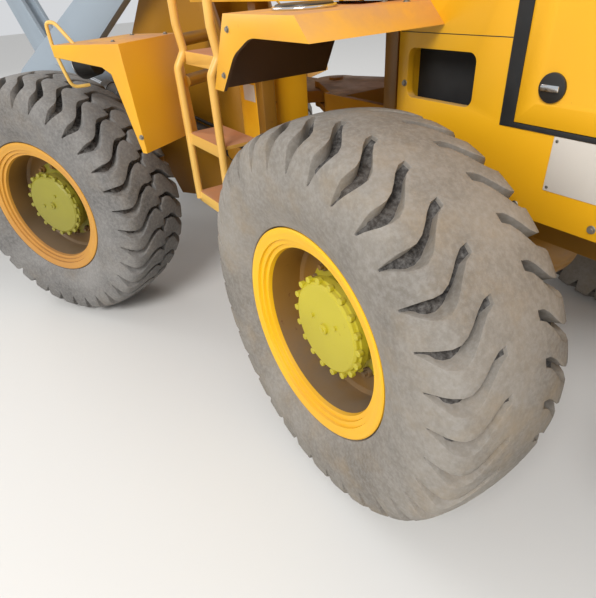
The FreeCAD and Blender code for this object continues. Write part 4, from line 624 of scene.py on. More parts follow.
@dataclass
class Tyre:
    """Cross-ply tyre with slanting bars that wrap over both shoulders."""

    bars: int = 34
    columns: int = 7
    groove_columns: int = 3
    radius: float = 0.643
    half_width: float = 0.218
    bead_radius: float = 0.3182
    bead_half: float = 0.1678
    slant: float = 0.46
    curl: float = 0.017
    stagger: float = 0.28
    phase: float = 3.0
    worn: GrooveStyle = field(default_factory=lambda: GrooveStyle(0.042, 0.052, 0.42, 0.16, 0.2))
    sharp: GrooveStyle = field(default_factory=lambda: GrooveStyle(0.046, 0.0, 0.42, 0.12, 0.45))

    def section(self) -> list[tuple[float, float]]:
        """Corners of the closed section, from one bead over the tread to the other."""
        half = [
            (0.0, self.radius), (0.035, self.radius - 0.0008), (0.06, self.radius - 0.0022),
            (0.083, self.radius - 0.004), (0.105, self.radius - 0.007), (0.125, self.radius - 0.010),
            (0.145, self.radius - 0.014), (0.165, self.radius - 0.019), (0.184, self.radius - 0.027),
            (0.200, self.radius - 0.042), (0.2075, self.radius - 0.062), (0.2125, self.radius - 0.088),
            (0.2165, self.radius - 0.112), (self.half_width, self.radius - 0.150), (0.2175, 0.455),
            (0.211, 0.42), (0.200, 0.392), (0.1925, 0.372), (0.1885, 0.3595),
            (self.bead_half, 0.3565), (self.bead_half, 0.334),
        ]
        outer = [(-along, radius) for along, radius in half[:0:-1]] + half
        inner = [(self.bead_half, self.bead_radius), (-self.bead_half, self.bead_radius)]
        return outer + inner

    def in_groove(self, along: float, radius: float, turn: float, style: GrooveStyle) -> bool:
        """Whether a face of the straight tread lies in a groove.

        Args:
            along: Place across the tyre.
            radius: Distance from the axle.
            turn: Angle about the axle in pitches of the tread.
            style: Reach and width of the grooves.

        Returns:
            True inside a groove.
        """
        shifted = turn if along > 0 else turn + self.stagger
        column = int((shifted % 1.0) * self.columns)
        return column < self.groove_columns and abs(along) > style.reach and radius > 0.532

    def depth_at(self, along: float, radius: float, style: GrooveStyle) -> float:
        """Depth of a groove, which runs out on the sidewall and near the middle."""
        down = min(1.0, max(0.0, (radius - 0.527) / 0.05))
        middle = min(1.0, max(style.inner_depth, (abs(along) - style.reach * 0.8) / 0.07))
        return style.depth * down * middle

    def width_at(self, along: float, radius: float, style: GrooveStyle) -> float:
        """Width of a groove at a place, in pitches of the tread."""
        if radius < 0.606:
            return style.width * max(0.14, (radius - 0.522) / 0.084)
        across = min(1.0, max(0.0, (abs(along) - 0.045) / 0.11))
        return style.inner_width + (style.width - style.inner_width) * across

    def lean_at(self, along: float, radius: float) -> float:
        """How far the bars have leaned forward at a place, in metres along the tread."""
        inwards = 0.2 - min(0.2, abs(along))
        curl = self.curl * math.sin(2 * math.pi * inwards / 0.16)
        return self.slant * inwards - curl

    def make(self, style: GrooveStyle) -> bpy.types.Object:
        """Model one tyre about the Y axis, with its grooves cut.

        Args:
            style: Reach, depth and width of the grooves.

        Returns:
            The tyre.
        """
        steps = self.bars * self.columns
        piece = spun(self.section(), steps)
        pitch = 2 * math.pi / self.bars

        def lies_in_groove(centre: Vector, normal: Vector) -> bool:
            radius = math.hypot(centre.x, centre.z)
            turn = math.atan2(centre.z, centre.x) / pitch
            return self.in_groove(centre.y, radius, turn, style)

        pick_faces(piece, lies_in_groove)
        bpy.ops.mesh.extrude_region()
        mesh = bmesh.from_edit_mesh(piece.data)
        floor = mesh.faces.layers.int.new("groove")
        for face in mesh.faces:
            face[floor] = int(face.select)
        for vertex in mesh.verts:
            if not vertex.select:
                continue
            radius = math.hypot(vertex.co.x, vertex.co.z)
            depth = self.depth_at(vertex.co.y, radius, style)
            pull = Vector((vertex.co.x / radius, 0.0, vertex.co.z / radius)) * depth
            side = math.copysign(1.0, vertex.co.y) * max(0.0, (0.62 - radius) / 0.09)
            vertex.co -= pull * (1 - min(1.0, abs(side)) * 0.75)
            vertex.co.y -= depth * min(1.0, max(-1.0, side)) * 0.8
        bmesh.update_edit_mesh(piece.data)
        done()
        self.lean(piece, style, pitch)
        tidy_mesh(piece)
        return piece

    def lean(self, piece: bpy.types.Object, style: GrooveStyle, pitch: float) -> None:
        """Narrow the grooves and slant the bars by turning each point about the axle."""
        for vertex in piece.data.vertices:
            radius = math.hypot(vertex.co.x, vertex.co.z)
            if radius < 0.5:
                continue
            turn = math.atan2(vertex.co.z, vertex.co.x) / pitch
            offset = 0.0 if vertex.co.y > 0 else self.stagger
            whole = math.floor(turn + offset + 1e-6)
            part = max(0.0, turn + offset - whole)
            share = self.groove_columns / self.columns
            target = self.width_at(vertex.co.y, radius, style)
            middle = min(1.0, abs(vertex.co.y) / 0.03)
            target = share + (target - share) * middle
            if part < share:
                part = part / share * target
            else:
                part = target + (part - share) / (1 - share) * (1 - target)
            fade = min(1.0, (radius - 0.5) / 0.05)
            angle = (whole - offset + part) * pitch - fade * self.lean_at(vertex.co.y, radius) / self.radius
            angle += math.radians(self.phase)
            vertex.co.x = radius * math.cos(angle)
            vertex.co.z = radius * math.sin(angle)


@dataclass
class Rim:
    """Multi-piece rim with its disc, planetary hub and bolts."""

    flange: float = 0.355
    bore: float = 0.282
    half: float = 0.19
    hub_radius: float = 0.170
    hub_face: float = 0.124
    hub_bolts: int = 18

    def section(self) -> list[tuple[float, float]]:
        """Corners of the rim's section, with its flanges, lock ring and disc."""
        return [
            (0.190, 0.3505), (0.1875, 0.3545), (0.1780, 0.3548), (0.1700, 0.3530), (0.1685, 0.3190),
            (0.150, 0.3178), (-0.150, 0.3178), (-0.1685, 0.3190), (-0.1700, 0.3540), (-0.1880, 0.3545),
            (-0.1900, 0.3500), (-0.1890, 0.3060), (-0.1600, 0.2900), (-0.0300, 0.2840), (0.0000, 0.2780),
            (0.0000, 0.1700), (0.0180, 0.1700), (0.0180, 0.2700), (0.0300, 0.2820), (0.1480, 0.2822),
            (0.1620, 0.2860), (0.1640, 0.2990), (0.1740, 0.3010), (0.1760, 0.3160), (0.1850, 0.3180),
            (0.1880, 0.3340), (0.1900, 0.3380),
        ]

    def make_barrel(self) -> bpy.types.Object:
        """Spin the rim about the Y axis."""
        piece = spun(self.section(), 120)
        hold(piece)
        bpy.ops.object.shade_smooth_by_angle(angle=math.radians(32))
        return piece

    def make_hub(self) -> bpy.types.Object:
        """Model the hub: drum, cover with its chamfer, bolts round the edge and plugs."""
        cover = spun([(-0.146, 0.148), (-0.146, 0.0005), (self.hub_face, 0.0005), (self.hub_face, 0.150),
                      (self.hub_face - 0.006, 0.158), (self.hub_face - 0.016, 0.160), (self.hub_face - 0.018, 0.1680),
                      (self.hub_face - 0.042, 0.1690), (self.hub_face - 0.044, 0.155), (0.03, 0.152),
                      (0.026, 0.205), (0.0185, 0.207), (-0.018, 0.207), (-0.022, 0.150)], 72)
        parts = [cover]
        bolt = drum(Vector((0, self.hub_face - 0.018, 0)), Vector((0, self.hub_face - 0.001, 0)), 0.0125, 6)
        soften(bolt, 0.0015, 1)
        for index in range(self.hub_bolts):
            angle = 2 * math.pi * index / self.hub_bolts + 0.1
            shift = Matrix.Translation((0.166 * math.cos(angle), 0, 0.166 * math.sin(angle)))
            parts.append(copied(bolt, shift))
        plug = drum(Vector((0, self.hub_face - 0.004, 0)), Vector((0, self.hub_face + 0.009, 0)), 0.018, 24)
        soften(plug, 0.003)
        socket = drum(Vector((0, self.hub_face, 0)), Vector((0, self.hub_face + 0.012, 0)), 0.008, 6)
        parts.append(plug)
        parts.append(socket)
        for side in (-1, 1):
            parts.append(copied(socket, Matrix.Translation((0.062 * side, -0.006, 0.028))))
        bpy.data.objects.remove(bolt)
        hub = joined(parts)
        hold(hub)
        bpy.ops.object.shade_smooth_by_angle(angle=math.radians(32))
        return hub

    def make_studs(self) -> bpy.types.Object:
        """Wheel nuts on the disc round the hub's flange."""
        nut = drum(Vector((0, 0.016, 0)), Vector((0, 0.042, 0)), 0.019, 6)
        soften(nut, 0.002, 1)
        stud = drum(Vector((0, 0.04, 0)), Vector((0, 0.056, 0)), 0.010, 12)
        pair = joined([nut, stud])
        parts = []
        for index in range(12):
            angle = 2 * math.pi * index / 12
            parts.append(copied(pair, Matrix.Translation((0.19 * math.cos(angle), 0, 0.19 * math.sin(angle)))))
        bpy.data.objects.remove(pair)
        return joined(parts)


@dataclass
class Wheels:
    """Four wheels, each a tyre, a rim, a hub and wheel nuts."""

    shop: Shop
    tyre: Tyre = field(default_factory=Tyre)
    rim: Rim = field(default_factory=Rim)
    half_track: float = 0.925
    axle_height: float = 0.645
    rear_axle: float = -1.300
    front_axle: float = 1.250

    def build(self) -> None:
        """Model the pieces once, and copy them to the four wheels."""
        worn = self.tyre.make(self.tyre.worn)
        sharp = self.tyre.make(self.tyre.sharp)
        for tread in (worn, sharp):
            soften(tread, 0.005, 2, 38)
        barrel = self.rim.make_barrel()
        hub = self.rim.make_hub()
        studs = self.rim.make_studs()
        for end, axle, frame in (("front", self.front_axle, FRONT), ("rear", self.rear_axle, REAR)):
            for side, sign in (("left", 1), ("right", -1)):
                body = f"wheel_{end}_{side}"
                turn = Matrix.Identity(4) if sign > 0 else Matrix.Rotation(math.pi, 4, "Z")
                place = frame @ Matrix.Translation((axle, sign * self.half_track, self.axle_height)) @ turn
                spin = Matrix.Rotation(math.radians(7.0 if end == "rear" else 31.0), 4, "Y")
                rubber = Finish.WORN_RUBBER if end == "rear" else Finish.RUBBER
                tread = worn if end == "rear" else sharp
                upright = frame @ Matrix.Translation((axle, sign * self.half_track, self.axle_height))
                carcass = self.shop.fit(copied(tread, Matrix.Identity(4)), f"tread_{end}_{side}", body, rubber,
                                        "tyre", upright, (f"tyre_{end}_{side}",))
                self.paint_groove_shade(carcass)
                # The front rims and hubs take the darker copies: painted shade, with dust.
                paint = Finish.RIM if end == "rear" else Finish.DUSTY_RIM
                cover = Finish.HUB if end == "rear" else Finish.DUSTY_HUB
                ring = self.shop.fit(copied(barrel, spin), f"rim_ring_{end}_{side}", body, paint,
                                     "rim_paint", place, (f"rim_{end}_{side}",))
                self.colour_well(ring, place)
                self.shop.fit(copied(hub, spin), f"hub_{end}_{side}", body, cover, "rim_paint", place)
                self.shop.fit(copied(studs, spin), f"wheel_nuts_{end}_{side}", body, Finish.WELL, "rim_paint", place)
        for piece in (worn, sharp, barrel, hub, studs):
            bpy.data.objects.remove(piece)

    def paint_groove_shade(self, carcass: bpy.types.Object) -> None:
        """Give the floors of the grooves a dark rubber: painted shade in the grooves, with earth caught in them."""
        carcass.data.materials.append(self.shop.paints.get(Finish.GROOVE_RUBBER))
        marks = carcass.data.attributes["groove"].data
        for face in carcass.data.polygons:
            if marks[face.index].value:
                face.material_index = 1

    def colour_well(self, ring: bpy.types.Object, place: Matrix) -> None:
        """Give the rim's inner barrel and disc a darker finish: painted shade in the recess, with rust and dirt."""
        ring.data.materials.append(self.shop.paints.get(Finish.WELL))
        back = place.inverted()
        for face in ring.data.polygons:
            centre = back @ face.center
            radius = math.hypot(centre.x, centre.z)
            if radius < 0.2835 and centre.y < 0.12:
                face.material_index = 1


# Pieces that follow a CAD node closely

@dataclass(frozen=True)
class Dressing:
    """How one CAD node is carried over: its rounding, its finish, and a second finish with the test for its faces."""

    node: str
    finish: Finish
    width: float = 0.004
    segments: int = 2
    second: Finish | None = None
    where: Pick | None = None


def on_steps(centre: Vector, normal: Vector) -> bool:
    """True on top of the ladders' steps and trays."""
    return normal.z > 0.7 and min(abs(centre.z - level) for level in (0.75, 1.03, 1.362)) < 0.012


def facing_down(centre: Vector, normal: Vector) -> bool:
    """True for the undersides, which get painted shade with mud."""
    return normal.z < -0.3


@dataclass
class CarriedNodes:
    """Plain steelwork, copied from the CAD with rounded edges and its finish; the frame, axles and fender undersides
    carry painted shade.
    """

    shop: Shop
    list: tuple[Dressing, ...] = (
        Dressing("rear_chassis", Finish.FRAME),
        Dressing("front_chassis", Finish.FRAME),
        Dressing("counterweight", Finish.WEIGHT, 0.012, 3),
        Dressing("engine_hood", Finish.BODY, 0.006),
        Dressing("hood_door_left", Finish.BODY, 0.006),
        Dressing("hood_door_right", Finish.BODY, 0.006),
        Dressing("radiator_grille", Finish.BLACK, 0.003),
        Dressing("engine", Finish.CAST, 0.01),
        Dressing("transmission", Finish.CAST, 0.008),
        Dressing("rear_axle", Finish.FRAME, 0.005),
        Dressing("front_axle", Finish.FRAME, 0.005),
        Dressing("front_propshaft", Finish.STEEL, 0.003),
        Dressing("side_tanks", Finish.BODY, 0.006),
        Dressing("cab_shell", Finish.BODY, 0.006),
        Dressing("cab_roof", Finish.BODY, 0.012, 3),
        Dressing("cab_door_left", Finish.BODY, 0.005),
        Dressing("cab_door_right", Finish.BODY, 0.005),
        Dressing("rear_fenders", Finish.TOP, 0.002, 2, Finish.UNDER, facing_down),
        Dressing("front_fenders", Finish.TOP, 0.002, 2, Finish.UNDER, facing_down),
        Dressing("ladders", Finish.RAIL, 0.002, 2, Finish.STEP, on_steps),
        Dressing("exhaust_stack", Finish.BLACK, 0.002),
        Dressing("air_precleaner", Finish.PLASTIC, 0.006),
        Dressing("steering_column", Finish.PLASTIC, 0.003),
        Dressing("lift_arm", Finish.ARM, 0.005),
        Dressing("bell_crank", Finish.ARM, 0.005),
        Dressing("bucket_link", Finish.ARM, 0.004),
        Dressing("bucket", Finish.BUCKET, 0.004),
        Dressing("cutting_edge", Finish.STEEL, 0.004),
        Dressing("lift_barrels", Finish.BLACK, 0.003),
        Dressing("tilt_barrel", Finish.BLACK, 0.003),
        Dressing("steer_barrel_left", Finish.BLACK, 0.002),
        Dressing("steer_barrel_right", Finish.BLACK, 0.002),
        Dressing("lift_rods", Finish.CHROME, 0.002),
        Dressing("tilt_rod", Finish.CHROME, 0.002),
        Dressing("steer_rod_left", Finish.CHROME, 0.001),
        Dressing("steer_rod_right", Finish.CHROME, 0.001),
        Dressing("tail_lamps", Finish.RED_LENS, 0.004),
        Dressing("headlamps", Finish.BLACK, 0.004),
    )

    def build(self) -> None:
        """Carry every listed node over, and glaze the panes."""
        slots = {row["node"]: row["material_slot"] for row in self.shop.frame["record"]["subparts"]}
        for dressing in self.list:
            piece = self.carry(dressing)
            self.shop.fit(piece, dressing.node + "_dressed", self.shop.body_of(dressing.node), dressing.finish,
                          slots[dressing.node], None, (dressing.node,))
            if dressing.second and dressing.where:
                self.second_coat(piece, dressing.second, dressing.where)
        for node in ("cab_glass", "door_glass_left", "door_glass_right"):
            self.shop.paints.coat(self.shop.frame["nodes"][node], Finish.GLASS)

    def second_coat(self, piece: bpy.types.Object, finish: Finish, where: Pick) -> None:
        """Give the faces that pass a test their own finish."""
        piece.data.materials.append(self.shop.paints.get(finish))
        for face in piece.data.polygons:
            if where(face.center, face.normal):
                face.material_index = 1

    def press_panel(self, piece: bpy.types.Object) -> None:
        """Press a shallow field into the outer face of a hood door."""
        middle = -PIVOT_SHIFT.y

        def outer(centre: Vector, normal: Vector) -> bool:
            return abs(normal.y) > 0.9 and abs(abs(centre.y + middle) - 0.6) < 0.002

        pick_faces(piece, outer)
        bpy.ops.mesh.inset(thickness=0.05, depth=0.0)
        bpy.ops.mesh.inset(thickness=0.007, depth=-0.004)
        done()

    def carry(self, dressing: Dressing) -> bpy.types.Object:
        """Copy a node, merge its loose triangles, and round its edges."""
        source = self.shop.frame["nodes"][dressing.node]
        piece = copied(source, Matrix.Identity(4))
        piece.parent = None
        for key in list(piece.keys()):
            if key.startswith("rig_"):
                del piece[key]
        hold(piece)
        bpy.ops.object.mode_set(mode="EDIT")
        bpy.ops.mesh.select_all(action="SELECT")
        bpy.ops.mesh.remove_doubles(threshold=0.00005)
        bpy.ops.mesh.dissolve_limited(angle_limit=math.radians(1.0))
        done()
        if dressing.node.startswith("hood_door"):
            self.press_panel(piece)
        soften(piece, dressing.width, dressing.segments, 30)
        return piece


# Fittings that the CAD leaves out

def both_sides(piece: bpy.types.Object) -> list[bpy.types.Object]:
    """A piece and its mirror image across the middle plane.

    Args:
        piece: The left-hand piece.

    Returns:
        The left and the right piece.
    """
    twin = copied(piece, Matrix.Scale(-1.0, 4, (0, 1, 0)))
    twin.data.flip_normals()
    return [piece, twin]


def bar(low: tuple[float, float, float], high: tuple[float, float, float], width: float = 0.002) -> bpy.types.Object:
    """A block with rounded edges."""
    piece = block(low, high)
    soften(piece, width)
    return piece


def puck(start: tuple[float, float, float], end: tuple[float, float, float], radius: float,
         width: float = 0.003, sides: int = 28) -> bpy.types.Object:
    """A short cylinder with rounded rims."""
    piece = drum(Vector(start), Vector(end), radius, sides)
    soften(piece, width)
    return piece


def hoop(place: tuple[float, float, float], radius: float, wire: float,
         turn: tuple[float, float, float] = (0.0, 0.0, 0.0)) -> bpy.types.Object:
    """A ring of round wire."""
    rest_hands()
    bpy.ops.mesh.primitive_torus_add(major_radius=radius, minor_radius=wire, major_segments=40,
                                     minor_segments=10, location=place, rotation=turn)
    piece = bpy.context.active_object
    bpy.ops.object.transform_apply(location=True, rotation=True, scale=True)
    bpy.ops.object.shade_smooth()
    return piece


def screw(place: tuple[float, float, float], out: tuple[float, float, float], size: float = 0.009) -> bpy.types.Object:
    """A hexagon bolt head on its washer."""
    foot, run = Vector(place), Vector(out).normalized()
    washer = drum(foot - run * size * 0.2, foot + run * size * 0.3, size * 1.35, 20)
    head = drum(foot + run * size * 0.25, foot + run * size, size, 6)
    piece = joined([washer, head])
    soften(piece, size * 0.1, 1)
    return piece


def pipe(points: list[tuple[float, float, float]], radius: float, bend: float = 0.04, sides: int = 12) -> bpy.types.Object:
    """A bent pipe through corners given as plain numbers."""
    return bent_pipe([Vector(point) for point in points], radius, bend, sides)


@dataclass
class Batch:
    """Pieces of one finish on one body, made one by one and joined at the end."""

    shop: Shop
    name: str
    body: str
    finish: Finish
    slot: str
    place: Matrix = field(default_factory=REAR.copy)
    parts: list[bpy.types.Object] = field(default_factory=list)

    def add(self, *pieces: bpy.types.Object) -> None:
        """Add pieces as they are."""
        self.parts.extend(pieces)

    def pair(self, *pieces: bpy.types.Object) -> None:
        """Add pieces and their mirror images."""
        for piece in pieces:
            self.parts.extend(both_sides(piece))

    def close(self) -> bpy.types.Object:
        """Join what was added and fit it."""
        return self.shop.fit(joined(self.parts), self.name, self.body, self.finish, self.slot, self.place)


@dataclass
class HoodFittings:
    """Painted shade strips at the vents and door gaps, a seam line, plates, rails, eyes and latches of the hood."""

    shop: Shop
    side: float = 0.6
    door_front: float = -1.542
    door_rear: float = -2.511
    door_low: float = 1.25
    door_high: float = 1.756

    def build(self) -> None:
        """Make the fittings of both sides."""
        self.shade_vents_and_gaps()
        self.fix_plates()
        self.add_rails()
        for name, sign in (("left", 1), ("right", -1)):
            self.add_latches(name, sign)

    def shade_vents_and_gaps(self) -> None:
        """Black strips round the door openings and black sheets behind the vents, painted shade for the dark door gaps
        and the dark inside of the hood; and a thin seam line in front of each door.
        """
        y = self.side
        seam_and_shade_strips = Batch(self.shop, "hood_seam_and_shade_strips", "rear_frame", Finish.SEAL, "black_plastic")
        # Painted shade: black strips along each door's front and lower edges stand for the dark gap round the door.
        seam_and_shade_strips.pair(bar((self.door_front, y - 0.012, self.door_low - 0.01), (-1.502, y + 0.0035, self.door_high), 0.0015),
                   bar((-2.50, y - 0.01, self.door_low - 0.014), (-1.502, y + 0.003, self.door_low - 0.002), 0.001),
                   bar((-1.50, y - 0.004, 1.4395), (-1.116, y + 0.0008, 1.4415), 0.0004),
                   # Painted shade: a black sheet and a ledge behind the vent stand for the dark inside of the hood.
                   bar((-1.47, y - 0.075, 1.20), (-1.125, y - 0.065, 1.47), 0.003),
                   bar((-1.47, y - 0.07, 1.42), (-1.125, y - 0.026, 1.43), 0.002))
        seam_and_shade_strips.close()

    def fix_plates(self) -> None:
        """Blank data plates with rivets, and bolts along the hood's foot."""
        y = self.side
        plates = Batch(self.shop, "blank_plates", "rear_frame", Finish.PLATE, "worn_steel")
        plates.pair(bar((-1.95, y - 0.001, 1.10), (-1.66, y + 0.0022, 1.235), 0.001))
        plates.pair(bar((-0.34, 0.7, 1.15), (-0.24, 0.7015, 1.22), 0.0006))
        plates.close()
        rivets = Batch(self.shop, "hood_screws", "rear_frame", Finish.BOLT, "worn_steel")
        for x in (-1.94, -1.67):
            for z in (1.11, 1.225):
                rivets.pair(puck((x, y, z), (x, y + 0.004, z), 0.004, 0.001, 12))
        for step in range(8):
            rivets.pair(screw((-1.16 - 0.215 * step, y, 1.038), (0, 1, 0), 0.008))
        for z in (1.30, 1.60, 1.72):
            rivets.pair(screw((-1.14, y, z), (0, 1, 0), 0.007))
        rivets.close()

    def add_rails(self) -> None:
        """Hand rails and lifting eyes on top, with their feet."""
        rails = Batch(self.shop, "hood_rails", "rear_frame", Finish.RAIL, "yellow_paint")
        rails.pair(pipe([(-1.32, 0.52, 1.85), (-1.32, 0.52, 2.01), (-2.40, 0.52, 1.95), (-2.40, 0.52, 1.79)], 0.014),
                   pipe([(-1.86, 0.52, 1.80), (-1.86, 0.52, 1.975)], 0.012),
                   hoop((-1.22, 0.33, 1.905), 0.034, 0.009, (math.pi / 2, 0, 0)),
                   hoop((-2.60, 0.33, 1.845), 0.034, 0.009, (math.pi / 2, 0, 0)))
        rails.close()
        feet = Batch(self.shop, "rail_feet", "rear_frame", Finish.BOLT, "worn_steel")
        for x, z in ((-1.26, 1.884), (-1.38, 1.878)):
            feet.pair(screw((x, 0.52, z), (0, 0, 1), 0.008))
        feet.close()

    def add_latches(self, name: str, sign: int) -> None:
        """Paddle latches on one hood door, with their dishes."""
        body = f"hood_door_{name}"
        y = sign * self.side
        dishes = Batch(self.shop, f"latch_dishes_{name}", body, Finish.BLACK, "black_paint")
        keys = Batch(self.shop, f"latch_paddles_{name}", body, Finish.CHROME, "chrome")
        for z in (1.34, 1.66):
            x = self.door_front - 0.085
            dishes.add(puck((x, y - sign * 0.004, z), (x, y + sign * 0.004, z), 0.034, 0.002))
            keys.add(bar((x - 0.022, min(y, y + sign * 0.011), z - 0.008), (x + 0.026, max(y, y + sign * 0.011), z + 0.008), 0.003))
        dishes.close()
        keys.close()


@dataclass
class CabFittings:
    """Lamps, mirrors, handles, wipers and rails of the cab."""

    shop: Shop

    def build(self) -> None:
        """Make the fittings of the cab's outside."""
        self.hang_lamps()
        self.hang_mirrors()
        self.fit_handles()
        self.fit_wipers()

    def hang_lamps(self) -> None:
        """Four work lamps under the roof's edges."""
        cans = Batch(self.shop, "work_lamps", "rear_frame", Finish.BLACK, "black_paint")
        lenses = Batch(self.shop, "work_lamp_lenses", "rear_frame", Finish.LENS, "lamp_lens")
        for start, end in ((0.098, 0.162), (-1.098, -1.162)):
            run = 1 if end > start else -1
            cans.pair(puck((start, 0.60, 2.83), (end, 0.60, 2.83), 0.056, 0.008),
                      bar((min(start, start + run * 0.03), 0.585, 2.87), (max(start, start + run * 0.03), 0.615, 2.902), 0.003))
            lenses.pair(puck((end - run * 0.004, 0.60, 2.83), (end + run * 0.004, 0.60, 2.83), 0.048, 0.003))
        cans.close()
        lenses.close()

    def hang_mirrors(self) -> None:
        """Mirrors on bent arms at the front posts."""
        arms = Batch(self.shop, "mirror_arms", "rear_frame", Finish.BLACK, "black_paint")
        arms.pair(pipe([(0.06, 0.745, 2.62), (0.10, 0.82, 2.62), (0.12, 0.95, 2.60), (0.12, 0.95, 2.30)], 0.010),
                  bar((0.02, 0.745, 2.59), (0.085, 0.757, 2.65), 0.003),
                  bar((0.098, 0.87, 2.30), (0.122, 1.03, 2.56), 0.008))
        arms.close()
        faces = Batch(self.shop, "mirror_faces", "rear_frame", Finish.CHROME, "chrome")
        faces.pair(bar((0.0945, 0.882, 2.312), (0.0985, 1.018, 2.548), 0.0015))
        faces.close()

    def fit_handles(self) -> None:
        """Grab rails beside the doors, and door handles."""
        rails = Batch(self.shop, "cab_rails", "rear_frame", Finish.RAIL, "yellow_paint")
        rails.pair(pipe([(-0.405, 0.748, 1.72), (-0.405, 0.81, 1.72), (-0.405, 0.81, 2.02), (-0.405, 0.748, 2.02)], 0.012),
                   pipe([(0.04, 0.748, 1.80), (0.04, 0.80, 1.80), (0.04, 0.80, 2.45), (0.04, 0.748, 2.45)], 0.012))
        rails.close()
        for name, sign in (("left", 1), ("right", -1)):
            y = sign * 0.772
            levers = Batch(self.shop, f"door_handle_{name}", f"cab_door_{name}", Finish.BLACK, "black_paint")
            levers.add(bar((-0.56, min(y - sign * 0.004, y + sign * 0.006), 1.90), (-0.515, max(y - sign * 0.004, y + sign * 0.006), 2.02), 0.004),
                       pipe([(-0.537, y, 1.92), (-0.537, y + sign * 0.028, 1.92), (-0.537, y + sign * 0.028, 2.0),
                             (-0.537, y, 2.0)], 0.008, 0.015))
            levers.close()

    def fit_wipers(self) -> None:
        """One wiper on the windscreen and one on the rear window."""
        wipers = Batch(self.shop, "wipers", "rear_frame", Finish.BLACK, "black_paint")
        for x, out in ((0.092, 1), (-1.092, -1)):
            wipers.add(pipe([(x + out * 0.012, 0.0, 2.84), (x + out * 0.010, 0.05, 2.75), (x, 0.20, 2.42)], 0.006, 0.02),
                       bar((x - 0.006, 0.175, 2.20), (x + 0.004, 0.187, 2.64), 0.002),
                       puck((x, 0.0, 2.84), (x + out * 0.022, 0.0, 2.84), 0.022, 0.004))
        wipers.close()


@dataclass
class Cushion:
    """A foam pad under stretched vinyl, blown up from a block by a cloth simulation."""

    low: tuple[float, float, float]
    high: tuple[float, float, float]
    grain: float = 0.011
    pressure: float = 4.0
    reach: float = 0.012

    def make(self) -> bpy.types.Object:
        """Sew, fill and settle the pad.

        Returns:
            The finished cushion.
        """
        piece = block(self.low, self.high)
        soften(piece, 0.022, 3)
        hold(piece)
        mesh = piece.data
        mesh.remesh_voxel_size = self.grain
        bpy.ops.object.voxel_remesh()
        start = [vertex.co.copy() for vertex in piece.data.vertices]
        self.fill(piece)
        for vertex, before in zip(piece.data.vertices, start):
            moved = vertex.co - before
            if moved.length > self.reach:
                vertex.co = before + moved.normalized() * self.reach
        hold(piece)
        bpy.ops.object.shade_smooth()
        return piece

    def fill(self, piece: bpy.types.Object) -> None:
        """Press the cover outwards from inside and keep the settled shape."""
        cloth = piece.modifiers.new("Cover", "CLOTH")
        cloth.settings.quality = 5
        cloth.settings.use_pressure = True
        cloth.settings.uniform_pressure_force = self.pressure
        cloth.settings.tension_stiffness = 25.0
        cloth.settings.compression_stiffness = 12.0
        cloth.settings.effector_weights.gravity = 0.0
        cloth.collision_settings.use_self_collision = False
        scene = bpy.context.scene
        for frame in range(1, 21):
            scene.frame_set(frame)
        hold(piece)
        bpy.ops.object.modifier_apply(modifier=cloth.name)
        scene.frame_set(1)


